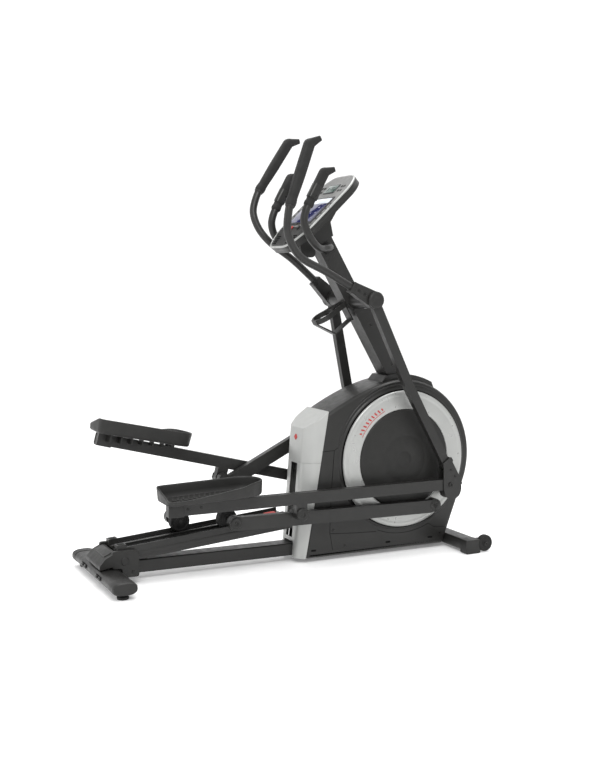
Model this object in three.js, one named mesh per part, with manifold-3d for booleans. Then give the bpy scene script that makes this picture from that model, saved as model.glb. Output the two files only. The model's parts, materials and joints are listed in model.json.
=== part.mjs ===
// Front-drive elliptical trainer with a powered rear ramp.
// Millimetres, +X towards the console end, +Y to the user's left, +Z up.
// The origin is on the floor, under the middle of the machine.
// Each side has a swing leg, a pedal arm and a roller arm. The roller arm runs from the crank pin
// to a wheel on the ramp, the pedal arm is hinged on it, and the swing leg carries the pedal arm's
// front end. Both sides are placed by solving that linkage for one crank angle.

import * as THREE from 'three';
import { mergeVertices } from 'three/addons/utils/BufferGeometryUtils.js';
import Module from 'manifold-3d';

const wasm = await Module();
wasm.setup();

// ---------------------------------------------------------------- driving dimensions

const GAP = 0.3; // between pieces that touch
const RUNNING_GAP = 1; // between pieces that move past each other
const RIGHT = -1;
const LEFT = 1;
const SIDES = { right: RIGHT, left: LEFT };

const machine = { originShift: -28 };

const stabiliser = {
  rear: { x: -800, depth: 98, height: 50, base: 20, halfWidth: 307 },
  front: { x: 800, depth: 70, height: 50, base: 12, halfWidth: 226 },
};
const foot = { radius: 24, pad: 16, stem: 6, stemTop: 52, inset: 38 };
const frontCap = { width: 47, height: 62, wrap: 3 };
const transportWheel = { radius: 37, width: 24, axle: 6, reach: 68, lift: 3 };
const rail = { halfWidth: 40, rearTop: 84, frontTop: 75, depth: 54 };

const ramp = {
  pivotX: -738,
  pivotZ: 98,
  slope: 0.09,
  trackZ: 203.3, // track height above the floor at X = 0
  halfWidth: 80,
  wall: 4,
  lip: 14,
  skirt: 46,
  rib: 10,
  ribHalf: 6,
  tail: 24,
  length: 742,
  stopLength: 38,
  stopHeight: 24,
  tongueHalf: 18,
  tongueReach: 118,
  tongueThick: 12,
};
const rampPin = { radius: 10 };
const lift = { motor: [66, 56, 84], x: 100, motorTop: 470, screwRadius: 8 };

const crank = {
  x: 532,
  z: 422,
  radius: 252.5,
  angle: -57.3,
  armWidth: 52,
  armThickness: 6,
  pin: 11,
  axle: 12.5,
};
const disc = { insidePin: 31.5, outsidePin: 50.5, thickness: 9, dome: 3 };
const pulley = { radius: 165, width: 16, y: 46 };
const flywheel = { x: 262, z: 300, radius: 128, width: 26, y: -22, hub: 30, axle: 9, wallRoom: 17 };
const belt = { thickness: 3, gap: 1.2 };

const roller = { radius: 42.5, width: 34, wallRoom: 10, axle: 8 };
const rollerArm = { length: 955, pivotX: 277, pivotZ: 22, top: 24, bottom: -32, width: 32, room: 6.7 };
const pedalArm = {
  hingeX: 726,
  hingeZ: 76,
  rear: 577,
  depth: 48,
  rearCentre: 60,
  width: 35,
  room: 7,
  seatRise: 2,
  pin: 9,
  knob: 27,
};
const pedal = {
  rear: -604,
  length: 425,
  width: 170,
  overhang: 70, // from the arm's inner face towards the middle plane
  wall: 6,
  floor: 8,
  height: 60,
  outerHeight: 20,
  nose: 104,
  tilt: 2.5,
};
const swing = { x: 331, z: 1123, length: 903, hub: 36, hubWidth: 50, axle: 10 };
const leg = { depth: 42, width: 30, inset: 3, bend: 400, cheek: 3.5 };
const bar = { radius: 16, socketDepth: 55, socketLength: 122, socketHalf: 23 };
const grip = { radius: 21, bore: 110, spread: 87 };
const fixedGrip = { radius: 20, bore: 100 };

const shroud = { radius: 349, halfWidth: 105, wall: 4, base: 18, rearFoot: 57, rearLean: 0.141 };
const shield = { rearFoot: 17, rearLean: 0.08, rearHalf: 68, taper: 45, split: 430, slotHalf: 30 };
const topCover = { thickness: 22, halfWidth: 66, from: 58, to: 104 };
const inlet = { x: 706, z: 92, width: 40, height: 28, depth: 24 };

const mast = { lean: 30, depth: 79, halfWidth: 35, top: 288, crossRadius: 35 };
const lowerMast = { drop: 39, rear: -17, front: 77, base: 792, halfWidth: 45, wall: 5 };
const upright = {
  halfWidth: 24,
  thick: 52,
  baseX: 690,
  kneeX: 650,
  kneeZ: 600,
  headReach: 80, // ahead of the swing pivot
  headDrop: 109, // below it
  bearing: 34,
};
const bottle = {
  inner: 44,
  outer: 50,
  height: 22,
  reach: 150,
  seatDrop: 92,
  plateDrop: 78,
  strap: 6,
  strapHalf: 20,
};

const consoleUnit = { back: 207, drop: 27.4, tilt: 43.5, length: 448, halfWidth: 152, depth: 36, face: 4 };
const handlebar = { halfSpread: 160, clampDrop: 32 };
const display = { low: 150, high: 292, halfWidth: 100 };
const lcd = { low: 338, high: 380, halfWidth: 44 };
const button = { radius: 11, travel: 2, u: 118, v: 34, height: 6 };

// ---------------------------------------------------------------- layers out from the middle plane

function layer(inner, width) {
  return { inner, outer: inner + width };
}

const rollerLayer = layer(ramp.halfWidth - roller.wallRoom - roller.width, roller.width);
const crankArmLayer = layer(shroud.halfWidth + RUNNING_GAP, crank.armThickness);
const discLayer = layer(crankArmLayer.outer + GAP, disc.thickness);
const rollerArmLayer = layer(discLayer.outer + disc.dome + rollerArm.room, rollerArm.width);
const pedalArmLayer = layer(rollerArmLayer.outer + pedalArm.room, pedalArm.width);
const pedalLayer = layer(pedalArmLayer.inner - pedal.overhang, pedal.width);
const legLayer = layer(pedalArmLayer.inner + leg.inset, leg.width);
const hubLayer = layer(legLayer.inner - 5, swing.hubWidth);
const legMiddle = (legLayer.inner + legLayer.outer) / 2;
const BEYOND = 30; // how far a cutting tool reaches past what it cuts

// ---------------------------------------------------------------- materials

const finishes = {
  frame: { color: 0x3b3b38, roughness: 0.45, metalness: 0.4 },
  plastic: { color: 0x383835, roughness: 0.55, metalness: 0.0 },
  silver: { color: 0xc4c5c0, roughness: 0.38, metalness: 0.2 },
  rubber: { color: 0x2a2a28, roughness: 0.85, metalness: 0.0 },
  steel: { color: 0x9a9a98, roughness: 0.35, metalness: 0.9 },
  screen: { color: 0x3a3f78, roughness: 0.2, metalness: 0.0 },
};

// ---------------------------------------------------------------- solids

const object = new THREE.Group();

function solid(geometry) {
  const clean = geometry.clone();
  clean.deleteAttribute('normal');
  clean.deleteAttribute('uv');
  const merged = mergeVertices(clean, 1e-3);
  return new wasm.Manifold(new wasm.Mesh({
    numProp: 3,
    vertProperties: new Float32Array(merged.attributes.position.array),
    triVerts: new Uint32Array(merged.index.array),
  }));
}

function toGeometry(manifold) {
  const mesh = manifold.getMesh();
  const geometry = new THREE.BufferGeometry();
  geometry.setAttribute('position', new THREE.BufferAttribute(mesh.vertProperties, 3));
  geometry.setIndex(new THREE.BufferAttribute(mesh.triVerts, 1));
  geometry.computeVertexNormals();
  return geometry;
}

function addPart(name, shape, finish, parent = object) {
  const geometry = shape.isBufferGeometry ? shape : toGeometry(shape);
  const mesh = new THREE.Mesh(geometry, new THREE.MeshStandardMaterial(finishes[finish]));
  mesh.name = name;
  parent.add(mesh);
  return mesh;
}

function union(...pieces) {
  return pieces.reduce((whole, piece) => whole.add(piece));
}

function cut(body, ...tools) {
  return tools.reduce((left, tool) => left.subtract(tool), body);
}

// A box between two corners.
function box(low, high) {
  const size = low.map((value, axis) => high[axis] - value);
  const middle = low.map((value, axis) => (high[axis] + value) / 2);
  return solid(new THREE.BoxGeometry(...size).translate(...middle));
}

// A box on one side: y is given from the middle plane outwards.
function sideBox(side, xRange, yRange, zRange) {
  const ys = yRange.map((y) => side * y).sort((a, b) => a - b);
  return box([xRange[0], ys[0], zRange[0]], [xRange[1], ys[1], zRange[1]]);
}

// An outline in the X-Z plane, extruded along Y from one y to the other.
function plate(shape, yFrom, yTo, curveSegments = 6) {
  const low = Math.min(yFrom, yTo);
  const high = Math.max(yFrom, yTo);
  const geometry = new THREE.ExtrudeGeometry(shape, {
    depth: high - low,
    bevelEnabled: false,
    curveSegments,
  });
  return solid(geometry.rotateX(Math.PI / 2).translate(0, high, 0));
}

// A cylinder along Y between two y values.
function barrel(x, z, radius, yFrom, yTo, segments = 24) {
  const geometry = new THREE.CylinderGeometry(radius, radius, Math.abs(yTo - yFrom), segments);
  return solid(geometry.translate(x, (yFrom + yTo) / 2, z));
}

// An outline with every corner rounded by up to the given radius.
function rounded(points, radius) {
  const corners = points.map(([x, z]) => new THREE.Vector2(x, z));
  const shape = new THREE.Shape();
  corners.forEach((corner, index) => {
    const before = corners[(index + corners.length - 1) % corners.length];
    const after = corners[(index + 1) % corners.length];
    const reach = (other) => Math.min(radius, corner.distanceTo(other) / 2.02);
    const entry = corner.clone().lerp(before, reach(before) / corner.distanceTo(before));
    const exit = corner.clone().lerp(after, reach(after) / corner.distanceTo(after));
    if (index === 0) {
      shape.moveTo(entry.x, entry.y);
    } else {
      shape.lineTo(entry.x, entry.y);
    }
    shape.quadraticCurveTo(corner.x, corner.y, exit.x, exit.y);
  });
  shape.closePath();
  return shape;
}

function sharp(points) {
  return new THREE.Shape(points.map(([x, z]) => new THREE.Vector2(x, z)));
}

// A section in the Y-Z plane, extruded along X.
function sectionAlongX(points, from, to) {
  const geometry = new THREE.ExtrudeGeometry(sharp(points), { depth: to - from, bevelEnabled: false });
  geometry.applyMatrix4(new THREE.Matrix4().makeBasis(
    new THREE.Vector3(0, 1, 0),
    new THREE.Vector3(0, 0, 1),
    new THREE.Vector3(1, 0, 0),
  ));
  return solid(geometry.translate(from, 0, 0));
}

// A straight link with round ends, in the X-Z plane.
function linkShape(from, to, radius) {
  const angle = Math.atan2(to[1] - from[1], to[0] - from[0]);
  const shape = new THREE.Shape();
  shape.absarc(to[0], to[1], radius, angle - Math.PI / 2, angle + Math.PI / 2, false);
  shape.absarc(from[0], from[1], radius, angle + Math.PI / 2, angle + 1.5 * Math.PI, false);
  shape.closePath();
  return shape;
}

// A round bar along a list of points; straight when there are only two.
function roundBar(points, radius, steps, arcs = 6) {
  const nodes = points.map((point) => new THREE.Vector3(...point));
  const path = nodes.length === 2
    ? new THREE.LineCurve3(...nodes)
    : new THREE.CatmullRomCurve3(nodes, false, 'centripetal');
  const section = new THREE.Shape();
  section.absarc(0, 0, radius, 0, 2 * Math.PI, false);
  const geometry = new THREE.ExtrudeGeometry(section, {
    steps,
    curveSegments: arcs,
    extrudePath: path,
    bevelEnabled: false,
  });
  return solid(geometry);
}

function along(from, to, distance) {
  const start = new THREE.Vector3(...from);
  const direction = new THREE.Vector3(...to).sub(start).normalize();
  return start.addScaledVector(direction, distance).toArray();
}

function sideGroup(point, angle) {
  const group = new THREE.Group();
  group.position.set(point.x, 0, point.y);
  group.rotation.y = -angle;
  object.add(group);
  return group;
}

// ---------------------------------------------------------------- linkage

const swingPivot = new THREE.Vector2(swing.x, swing.z);
const crankCentre = new THREE.Vector2(crank.x, crank.z);

function turned(x, z, angle) {
  return new THREE.Vector2(x, z).rotateAround(new THREE.Vector2(), angle);
}

// The roller's centre runs on a line one wheel radius above the track.
function rollerCentre(pin) {
  const lineZ = ramp.trackZ + roller.radius * Math.hypot(1, ramp.slope);
  const a = 1 + ramp.slope ** 2;
  const drop = lineZ + GAP - pin.y;
  const b = -2 * pin.x + 2 * ramp.slope * drop;
  const c = pin.x ** 2 + drop ** 2 - rollerArm.length ** 2;
  const x = (-b - Math.sqrt(b * b - 4 * a * c)) / (2 * a);
  return new THREE.Vector2(x, lineZ + GAP + ramp.slope * x);
}

// Where the pedal arm's front hinge meets the end of the swing leg.
function frontHinge(pivot) {
  const reach = Math.hypot(pedalArm.hingeX, pedalArm.hingeZ);
  const toSwing = swingPivot.clone().sub(pivot);
  const distance = toSwing.length();
  const unit = toSwing.divideScalar(distance);
  const alongLine = (reach ** 2 - swing.length ** 2 + distance ** 2) / (2 * distance);
  const acrossLine = Math.sqrt(reach ** 2 - alongLine ** 2);
  return new THREE.Vector2(
    pivot.x + alongLine * unit.x + acrossLine * unit.y,
    pivot.y + alongLine * unit.y - acrossLine * unit.x,
  );
}

function solveSide(crankAngle) {
  const pin = crankCentre.clone().add(turned(crank.radius, 0, crankAngle));
  const wheel = rollerCentre(pin);
  const rollerArmAngle = pin.clone().sub(wheel).angle();
  const pivot = wheel.clone().add(turned(rollerArm.pivotX, rollerArm.pivotZ, rollerArmAngle));
  const hinge = frontHinge(pivot);
  const reachAngle = Math.atan2(pedalArm.hingeZ, pedalArm.hingeX);
  return {
    crankAngle,
    pin,
    wheel,
    pivot,
    hinge,
    rollerArmAngle,
    pedalArmAngle: hinge.clone().sub(pivot).angle() - reachAngle,
    swingAngle: Math.atan2(hinge.x - swing.x, swing.z - hinge.y),
  };
}

const rightCrankAngle = THREE.MathUtils.degToRad(crank.angle);
const pose = {
  right: solveSide(rightCrankAngle),
  left: solveSide(rightCrankAngle + Math.PI),
};

// ---------------------------------------------------------------- base

function railTop(x) {
  const { rear, front } = stabiliser;
  return THREE.MathUtils.mapLinear(x, rear.x, front.x, rail.rearTop, rail.frontTop);
}

function buildBaseRail() {
  const rearX = stabiliser.rear.x + stabiliser.rear.depth / 2 + GAP;
  const frontX = stabiliser.front.x - stabiliser.front.depth / 2 - GAP;
  const outline = sharp([
    [rearX, railTop(rearX) - rail.depth],
    [frontX, railTop(frontX) - rail.depth],
    [frontX, railTop(frontX)],
    [rearX, railTop(rearX)],
  ]);
  addPart('base_rail', plate(outline, -rail.halfWidth, rail.halfWidth), 'frame');
}

function stabiliserOutline({ x, depth, height, base }, corner) {
  return rounded([
    [x - depth / 2, base],
    [x + depth / 2, base],
    [x + depth / 2, base + height],
    [x - depth / 2, base + height],
  ], corner);
}

function buildRearStabiliser() {
  const { rear } = stabiliser;
  const tube = plate(stabiliserOutline(rear, rear.height / 2), -rear.halfWidth, rear.halfWidth);
  const bores = Object.values(SIDES).map((side) => {
    const y = side * (rear.halfWidth - foot.inset);
    const bore = new THREE.CylinderGeometry(foot.stem + GAP, foot.stem + GAP, foot.stemTop, 16);
    return solid(bore.rotateX(Math.PI / 2).translate(rear.x, y, foot.stemTop / 2 + 14));
  });
  addPart('rear_stabiliser', cut(tube, ...bores), 'frame');
  for (const [name, side] of Object.entries(SIDES)) {
    const profile = [
      [0, 0],
      [foot.radius, 0],
      [foot.radius, foot.pad / 2],
      [foot.radius * 0.6, foot.pad],
      [foot.stem, foot.pad],
      [foot.stem, foot.stemTop],
      [0, foot.stemTop],
    ].map(([radius, z]) => new THREE.Vector2(radius, z));
    const body = new THREE.LatheGeometry(profile, 18).rotateX(Math.PI / 2);
    body.translate(rear.x, side * (rear.halfWidth - foot.inset), 0);
    addPart(`levelling_foot_${name}`, solid(body), 'rubber');
  }
}

function buildFrontStabiliser() {
  const { front } = stabiliser;
  const tube = plate(stabiliserOutline(front, 8), -front.halfWidth, front.halfWidth, 3);
  addPart('front_stabiliser', tube, 'frame');
  const wheelX = front.x + transportWheel.reach;
  const wheelZ = transportWheel.radius + transportWheel.lift;
  for (const [name, side] of Object.entries(SIDES)) {
    const inner = front.halfWidth + GAP;
    const outer = inner + frontCap.width;
    const halfDepth = front.depth / 2 + frontCap.wrap;
    const block = plate(rounded([
      [front.x - halfDepth, 0],
      [front.x + halfDepth, 0],
      [front.x + halfDepth, frontCap.height],
      [front.x - halfDepth, frontCap.height],
    ], 9), side * inner, side * outer, 3);
    const earOuter = outer - transportWheel.width - 6;
    const ear = plate(
      linkShape([front.x, wheelZ], [wheelX, wheelZ], 19),
      side * inner,
      side * earOuter,
      8,
    );
    const axle = barrel(wheelX, wheelZ, transportWheel.axle, side * (inner + 4), side * (outer - 5), 16);
    const wheelRoom = barrel(wheelX, wheelZ, transportWheel.radius + 3, side * earOuter, side * outer, 24);
    const cap = union(cut(union(block, ear), wheelRoom), axle);
    addPart(`front_cap_${name}`, cap, 'plastic');
    const tyre = barrel(
      wheelX,
      wheelZ,
      transportWheel.radius,
      side * (earOuter + RUNNING_GAP),
      side * (earOuter + RUNNING_GAP + transportWheel.width),
    );
    const bore = barrel(wheelX, wheelZ, transportWheel.axle + GAP, side * inner, side * outer, 16);
    addPart(`transport_wheel_${name}`, cut(tyre, bore), 'rubber');
  }
}

// The cover over the ramp's hinge: a wedge behind the ramp and a cheek on each side of it.
function buildPivotCover() {
  const top = 134;
  const seat = stabiliser.rear.base + stabiliser.rear.height + RUNNING_GAP;
  const wedgeFront = ramp.pivotX - ramp.tail - 5;
  const cheekInner = ramp.halfWidth + RUNNING_GAP;
  const cheekOuter = cheekInner + 18;
  const wedge = plate(rounded([
    [stabiliser.rear.x - 42, seat],
    [wedgeFront, Math.max(seat, rail.rearTop + GAP)],
    [wedgeFront, top],
    [wedgeFront - 12, top],
    [wedgeFront - 50, top - 18],
    [stabiliser.rear.x - 42, seat + 16],
  ], 6), -cheekOuter, cheekOuter, 3);
  const railRoom = box(
    [stabiliser.rear.x + stabiliser.rear.depth / 2 - 1, -rail.halfWidth - 1, 0],
    [0, rail.halfWidth + 1, rail.rearTop + 1],
  );
  const cheekFront = ramp.pivotX + 58;
  const cheekFoot = stabiliser.rear.x + stabiliser.rear.depth / 2 + 2;
  const parts = [cut(wedge, railRoom)];
  for (const side of Object.values(SIDES)) {
    parts.push(plate(rounded([
      [wedgeFront - 22, seat],
      [cheekFoot, seat],
      [cheekFoot, 32],
      [cheekFront, 32],
      [cheekFront, 128],
      [cheekFront - 14, 142],
      [wedgeFront - 22, 142],
    ], 10), side * cheekInner, side * cheekOuter, 3));
    const pinInner = ramp.halfWidth - ramp.wall - 8;
    parts.push(barrel(
      ramp.pivotX,
      ramp.pivotZ,
      rampPin.radius,
      side * pinInner,
      side * (cheekInner + 4),
      20,
    ));
  }
  addPart('rear_pivot_cover', union(...parts), 'plastic');
}

// ---------------------------------------------------------------- ramp and lift

const rampAngle = Math.atan(ramp.slope);
const rampGroup = sideGroup(
  new THREE.Vector2(ramp.pivotX, ramp.trackZ + ramp.slope * ramp.pivotX),
  rampAngle,
);

// The ramp's own frame has X along the track and Z = 0 on the track's surface.
function buildRamp() {
  const { halfWidth, wall, lip, skirt, rib, ribHalf } = ramp;
  const half = [
    [0, rib],
    [ribHalf, rib],
    [ribHalf, 0],
    [halfWidth - wall, 0],
    [halfWidth - wall, lip],
    [halfWidth, lip],
    [halfWidth, -skirt],
    [halfWidth - wall, -skirt],
    [halfWidth - wall, -wall],
  ];
  const other = half.slice(1).reverse().map(([y, z]) => [-y, z]);
  const channel = sectionAlongX([...half, ...other], -ramp.tail, ramp.length);
  const pivotDrop = ramp.trackZ + ramp.slope * ramp.pivotX - ramp.pivotZ;
  const pinX = -pivotDrop * Math.sin(rampAngle);
  const pinZ = -pivotDrop * Math.cos(rampAngle);
  const bore = barrel(pinX, pinZ, rampPin.radius + GAP, -halfWidth - 1, halfWidth + 1, 20);
  const stops = Object.values(SIDES).map((side) => sideBox(
    side,
    [-ramp.tail, ramp.stopLength - ramp.tail],
    [rollerLayer.inner + 4, halfWidth - wall / 2],
    [-wall / 2, ramp.stopHeight],
  ));
  const tongue = box(
    [ramp.length - 60, -ramp.tongueHalf, -wall - ramp.tongueThick],
    [ramp.length + ramp.tongueReach, ramp.tongueHalf, -wall / 2],
  );
  const apron = box([ramp.length - 8, -halfWidth + 1, -skirt], [ramp.length, halfWidth - 1, -wall / 2]);
  const body = union(cut(channel, bore), ...stops, tongue, apron);
  addPart('ramp', body, 'frame', rampGroup);
}

function tongueTop() {
  const reach = lift.x - ramp.pivotX;
  return ramp.trackZ + ramp.slope * ramp.pivotX + reach * ramp.slope - ramp.wall / 2;
}

function buildLift() {
  const [width, depth, height] = lift.motor;
  const low = lift.motorTop - height;
  const body = box(
    [lift.x - width / 2, -depth / 2, low],
    [lift.x + width / 2, depth / 2, lift.motorTop],
  );
  const screwFoot = tongueTop() + 3;
  const screwLength = lift.motorTop - 20 - screwFoot;
  const bore = new THREE.CylinderGeometry(lift.screwRadius + GAP, lift.screwRadius + GAP, height, 16);
  bore.rotateX(Math.PI / 2).translate(lift.x, 0, low + height / 2 - 6);
  addPart('lift_motor', cut(body, solid(bore)), 'plastic');
  const screw = new THREE.CylinderGeometry(lift.screwRadius, lift.screwRadius, screwLength, 16);
  screw.rotateX(Math.PI / 2).translate(lift.x, 0, screwFoot + screwLength / 2);
  const nut = box([lift.x - 16, -15, screwFoot], [lift.x + 16, 15, screwFoot + 26]);
  addPart('lift_screw', union(solid(screw), nut), 'steel');
}

// ---------------------------------------------------------------- crank and flywheel

function buildCrankSide(name, side) {
  const { pin } = pose[name];
  const armInner = crankArmLayer.inner;
  const discInner = discLayer.inner;
  const past = discLayer.outer + disc.dome + GAP;
  const openingRadius = crank.radius - disc.insidePin;
  const centre = [crank.x, crank.z];
  const arm = plate(
    linkShape(centre, [pin.x, pin.y], crank.armWidth / 2),
    side * armInner,
    side * crankArmLayer.outer,
    8,
  );
  const pinEnd = rollerArmLayer.inner - RUNNING_GAP;
  const pinBody = barrel(pin.x, pin.y, crank.pin, side * armInner, side * pinEnd, 24);
  addPart(`crank_arm_${name}`, union(arm, pinBody), 'steel');

  const profile = [
    [0, 0],
    [openingRadius - GAP, 0],
    [openingRadius - GAP, disc.thickness - 1],
    [openingRadius - 14, disc.thickness + disc.dome],
    [0, disc.thickness + disc.dome],
  ].map(([radius, height]) => new THREE.Vector2(radius, height));
  const cover = new THREE.LatheGeometry(profile, 56);
  if (side === RIGHT) {
    cover.rotateX(Math.PI);
  }
  cover.translate(crank.x, side * discInner, crank.z);
  addPart(`crank_disc_${name}`, solid(cover), 'plastic');

  const rimRadius = crank.radius + disc.outsidePin;
  const rim = barrel(crank.x, crank.z, rimRadius, side * discInner, side * discLayer.outer, 64);
  const opening = barrel(crank.x, crank.z, openingRadius, side * armInner, side * past, 64);
  const pinHole = barrel(pin.x, pin.y, crank.pin + 2, side * armInner, side * past, 24);
  addPart(`disc_ring_${name}`, cut(rim, opening, pinHole), 'silver');
}

function buildDrive() {
  const axleEnd = shroud.halfWidth + RUNNING_GAP - GAP;
  addPart('crank_axle', barrel(crank.x, crank.z, crank.axle, -axleEnd, axleEnd), 'steel');

  const low = pulley.y - pulley.width / 2;
  const high = pulley.y + pulley.width / 2;
  const wheel = barrel(crank.x, crank.z, pulley.radius, low, high, 48);
  const wheelBore = barrel(crank.x, crank.z, crank.axle + GAP, low - 1, high + 1);
  addPart('crank_pulley', cut(wheel, wheelBore), 'plastic');

  const mass = barrel(
    flywheel.x,
    flywheel.z,
    flywheel.radius,
    flywheel.y - flywheel.width / 2,
    flywheel.y + flywheel.width / 2,
    48,
  );
  const hub = barrel(flywheel.x, flywheel.z, flywheel.hub, flywheel.y, high, 24);
  const bore = barrel(flywheel.x, flywheel.z, flywheel.axle + GAP, low - 90, high + 90, 20);
  addPart('flywheel', cut(union(mass, hub), bore), 'steel');

  const outer = beltOutline(belt.gap + belt.thickness);
  outer.holes.push(beltOutline(belt.gap));
  addPart('drive_belt', plate(outer, low + 2, high - 2, 14), 'rubber');
}

// The belt is the outline that wraps the pulley and the flywheel's hub, offset outwards.
function beltOutline(offset) {
  const big = pulley.radius + offset;
  const small = flywheel.hub + offset;
  const span = new THREE.Vector2(crank.x - flywheel.x, crank.z - flywheel.z);
  const heading = span.angle();
  const spread = Math.acos((big - small) / span.length());
  const shape = new THREE.Shape();
  shape.absarc(crank.x, crank.z, big, heading - Math.PI + spread, heading + Math.PI - spread, false);
  shape.absarc(flywheel.x, flywheel.z, small, heading + Math.PI - spread, heading - Math.PI + spread, false);
  shape.closePath();
  return shape;
}

const flywheelHalfAxle = shroud.halfWidth - shroud.wall - flywheel.wallRoom;

// The inner post, bent rearwards above the crank; the clearance widens it on every side.
function uprightPost(clearance) {
  const { baseX, kneeX, kneeZ, thick, halfWidth } = upright;
  const headX = swing.x + upright.headReach;
  const headZ = swing.z - upright.headDrop;
  const half = thick / 2 + clearance;
  return plate(sharp([
    [baseX - half, railTop(baseX) + GAP],
    [baseX + half, railTop(baseX) + GAP],
    [kneeX + half, kneeZ],
    [headX + half, headZ],
    [headX - half, headZ],
    [kneeX - half, kneeZ - 12],
  ]), -halfWidth - clearance, halfWidth + clearance);
}

// The post carries the crank's bearing tube on a web.
function buildUpright() {
  const { kneeX, halfWidth } = upright;
  const web = plate(sharp([
    [crank.x, crank.z - 22],
    [kneeX, crank.z - 40],
    [kneeX, crank.z + 40],
    [crank.x, crank.z + 22],
  ]), -halfWidth, halfWidth);
  const bearing = barrel(crank.x, crank.z, upright.bearing, -halfWidth - 10, halfWidth + 10);
  const bore = barrel(crank.x, crank.z, crank.axle + GAP, -60, 60);
  addPart('frame_upright', cut(union(uprightPost(0), web, bearing), bore), 'frame');

  const plates = Object.values(SIDES).map((side) => plate(sharp([
    [flywheel.x - 40, railTop(flywheel.x) + GAP],
    [flywheel.x + 40, railTop(flywheel.x) + GAP],
    [flywheel.x + 20, flywheel.z + 22],
    [flywheel.x - 20, flywheel.z + 22],
  ]), side * (flywheelHalfAxle - 12), side * (flywheelHalfAxle - 6)));
  const bracketFoot = box(
    [flywheel.x - 40, -flywheelHalfAxle + 6, railTop(flywheel.x - 40) + GAP],
    [flywheel.x + 40, flywheelHalfAxle - 6, railTop(flywheel.x - 40) + 8],
  );
  const axle = barrel(flywheel.x, flywheel.z, flywheel.axle, -flywheelHalfAxle, flywheelHalfAxle, 20);
  addPart('flywheel_bracket', union(...plates, bracketFoot, axle), 'frame');
}

// ---------------------------------------------------------------- arms and legs

function buildRollerArm(name, side) {
  const { wheel, rollerArmAngle } = pose[name];
  const group = sideGroup(wheel, rollerArmAngle);
  const inner = side * rollerArmLayer.inner;
  const outer = side * rollerArmLayer.outer;
  const { length, pivotX, pivotZ, top, bottom } = rollerArm;
  const beam = plate(rounded([
    [-4, bottom],
    [length - 6, bottom],
    [length - 6, top],
    [-4, top],
  ], 12), inner, outer, 4);
  const rearBoss = barrel(0, 0, 30, inner, outer, 28);
  const frontBoss = barrel(length, 0, 30, inner, outer, 28);
  const lug = barrel(pivotX, pivotZ, 24, inner, outer, 24);
  const axle = barrel(0, 0, roller.axle, side * (rollerLayer.inner - 3), side * (rollerArmLayer.inner + 5), 20);
  const pinBore = barrel(pivotX, pivotZ, pedalArm.pin + GAP, inner - side, outer + side, 20);
  const body = cut(union(beam, rearBoss, frontBoss, lug, axle), pinBore);
  addPart(`roller_arm_${name}`, body, 'frame', group);

  const tyre = barrel(0, 0, roller.radius, side * rollerLayer.inner, side * rollerLayer.outer, 32);
  const bore = barrel(0, 0, roller.axle + GAP, side * (rollerLayer.inner - 1), side * (rollerLayer.outer + 1), 20);
  addPart(`roller_${name}`, cut(tyre, bore), 'rubber', group);
}

function buildPedalArm(name, side) {
  const { pivot, pedalArmAngle } = pose[name];
  const group = sideGroup(pivot, pedalArmAngle);
  const { hingeX, hingeZ, rear, depth, rearCentre, pin, knob } = pedalArm;
  const inner = side * pedalArmLayer.inner;
  const outer = side * pedalArmLayer.outer;
  const half = depth / 2;
  const beam = plate(sharp([
    [-rear, rearCentre - half],
    [hingeX, hingeZ - half],
    [hingeX, hingeZ + half],
    [-rear, rearCentre + half],
  ]), inner, outer);
  const nose = barrel(hingeX, hingeZ, half, inner, outer, 28);
  const hub = barrel(0, 0, 26, inner, outer, 28);
  const web = sideBox(side, [-24, 24], [pedalArmLayer.inner, pedalArmLayer.outer], [0, rearCentre]);
  const seat = sideBox(
    side,
    [-rear - 4, -rear + 58],
    [pedalArmLayer.inner - 3, pedalArmLayer.outer + 3],
    [rearCentre - half - 3, rearCentre + half + pedalArm.seatRise],
  );
  const pinBore = barrel(0, 0, pin + GAP, inner - side, outer + side, 20);
  const hingeBore = barrel(hingeX, hingeZ, pin + GAP, inner - side, outer + side, 20);
  const body = cut(union(beam, nose, hub, web, seat), pinBore, hingeBore);
  addPart(`pedal_arm_${name}`, body, 'frame', group);

  const pinBody = barrel(0, 0, pin, side * (rollerArmLayer.inner + 2), side * (pedalArmLayer.outer + 3), 20);
  const knobInner = side * (pedalArmLayer.outer + RUNNING_GAP);
  const head = barrel(0, 0, knob, knobInner, knobInner + side * 10, 28);
  addPart(`pivot_pin_${name}`, union(pinBody, head), 'plastic', group);
  buildPedal(name, side, group);
}

function pedalOutline(inset) {
  const rear = pedal.rear + inset;
  const front = pedal.rear + pedal.length - inset;
  const low = pedalLayer.inner + inset;
  const high = pedalLayer.outer - inset;
  const middle = (low + high) / 2;
  const corner = 34 - inset;
  const shape = new THREE.Shape();
  shape.moveTo(rear + corner, low);
  shape.lineTo(front - 92, low);
  shape.bezierCurveTo(front - 36, low, front, low + 26, front, middle);
  shape.bezierCurveTo(front, high - 26, front - 48, high, front - 110, high);
  shape.lineTo(rear + corner, high);
  shape.quadraticCurveTo(rear, high, rear, high - corner);
  shape.lineTo(rear, low + corner);
  shape.quadraticCurveTo(rear, low, rear + corner, low);
  return shape;
}

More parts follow.
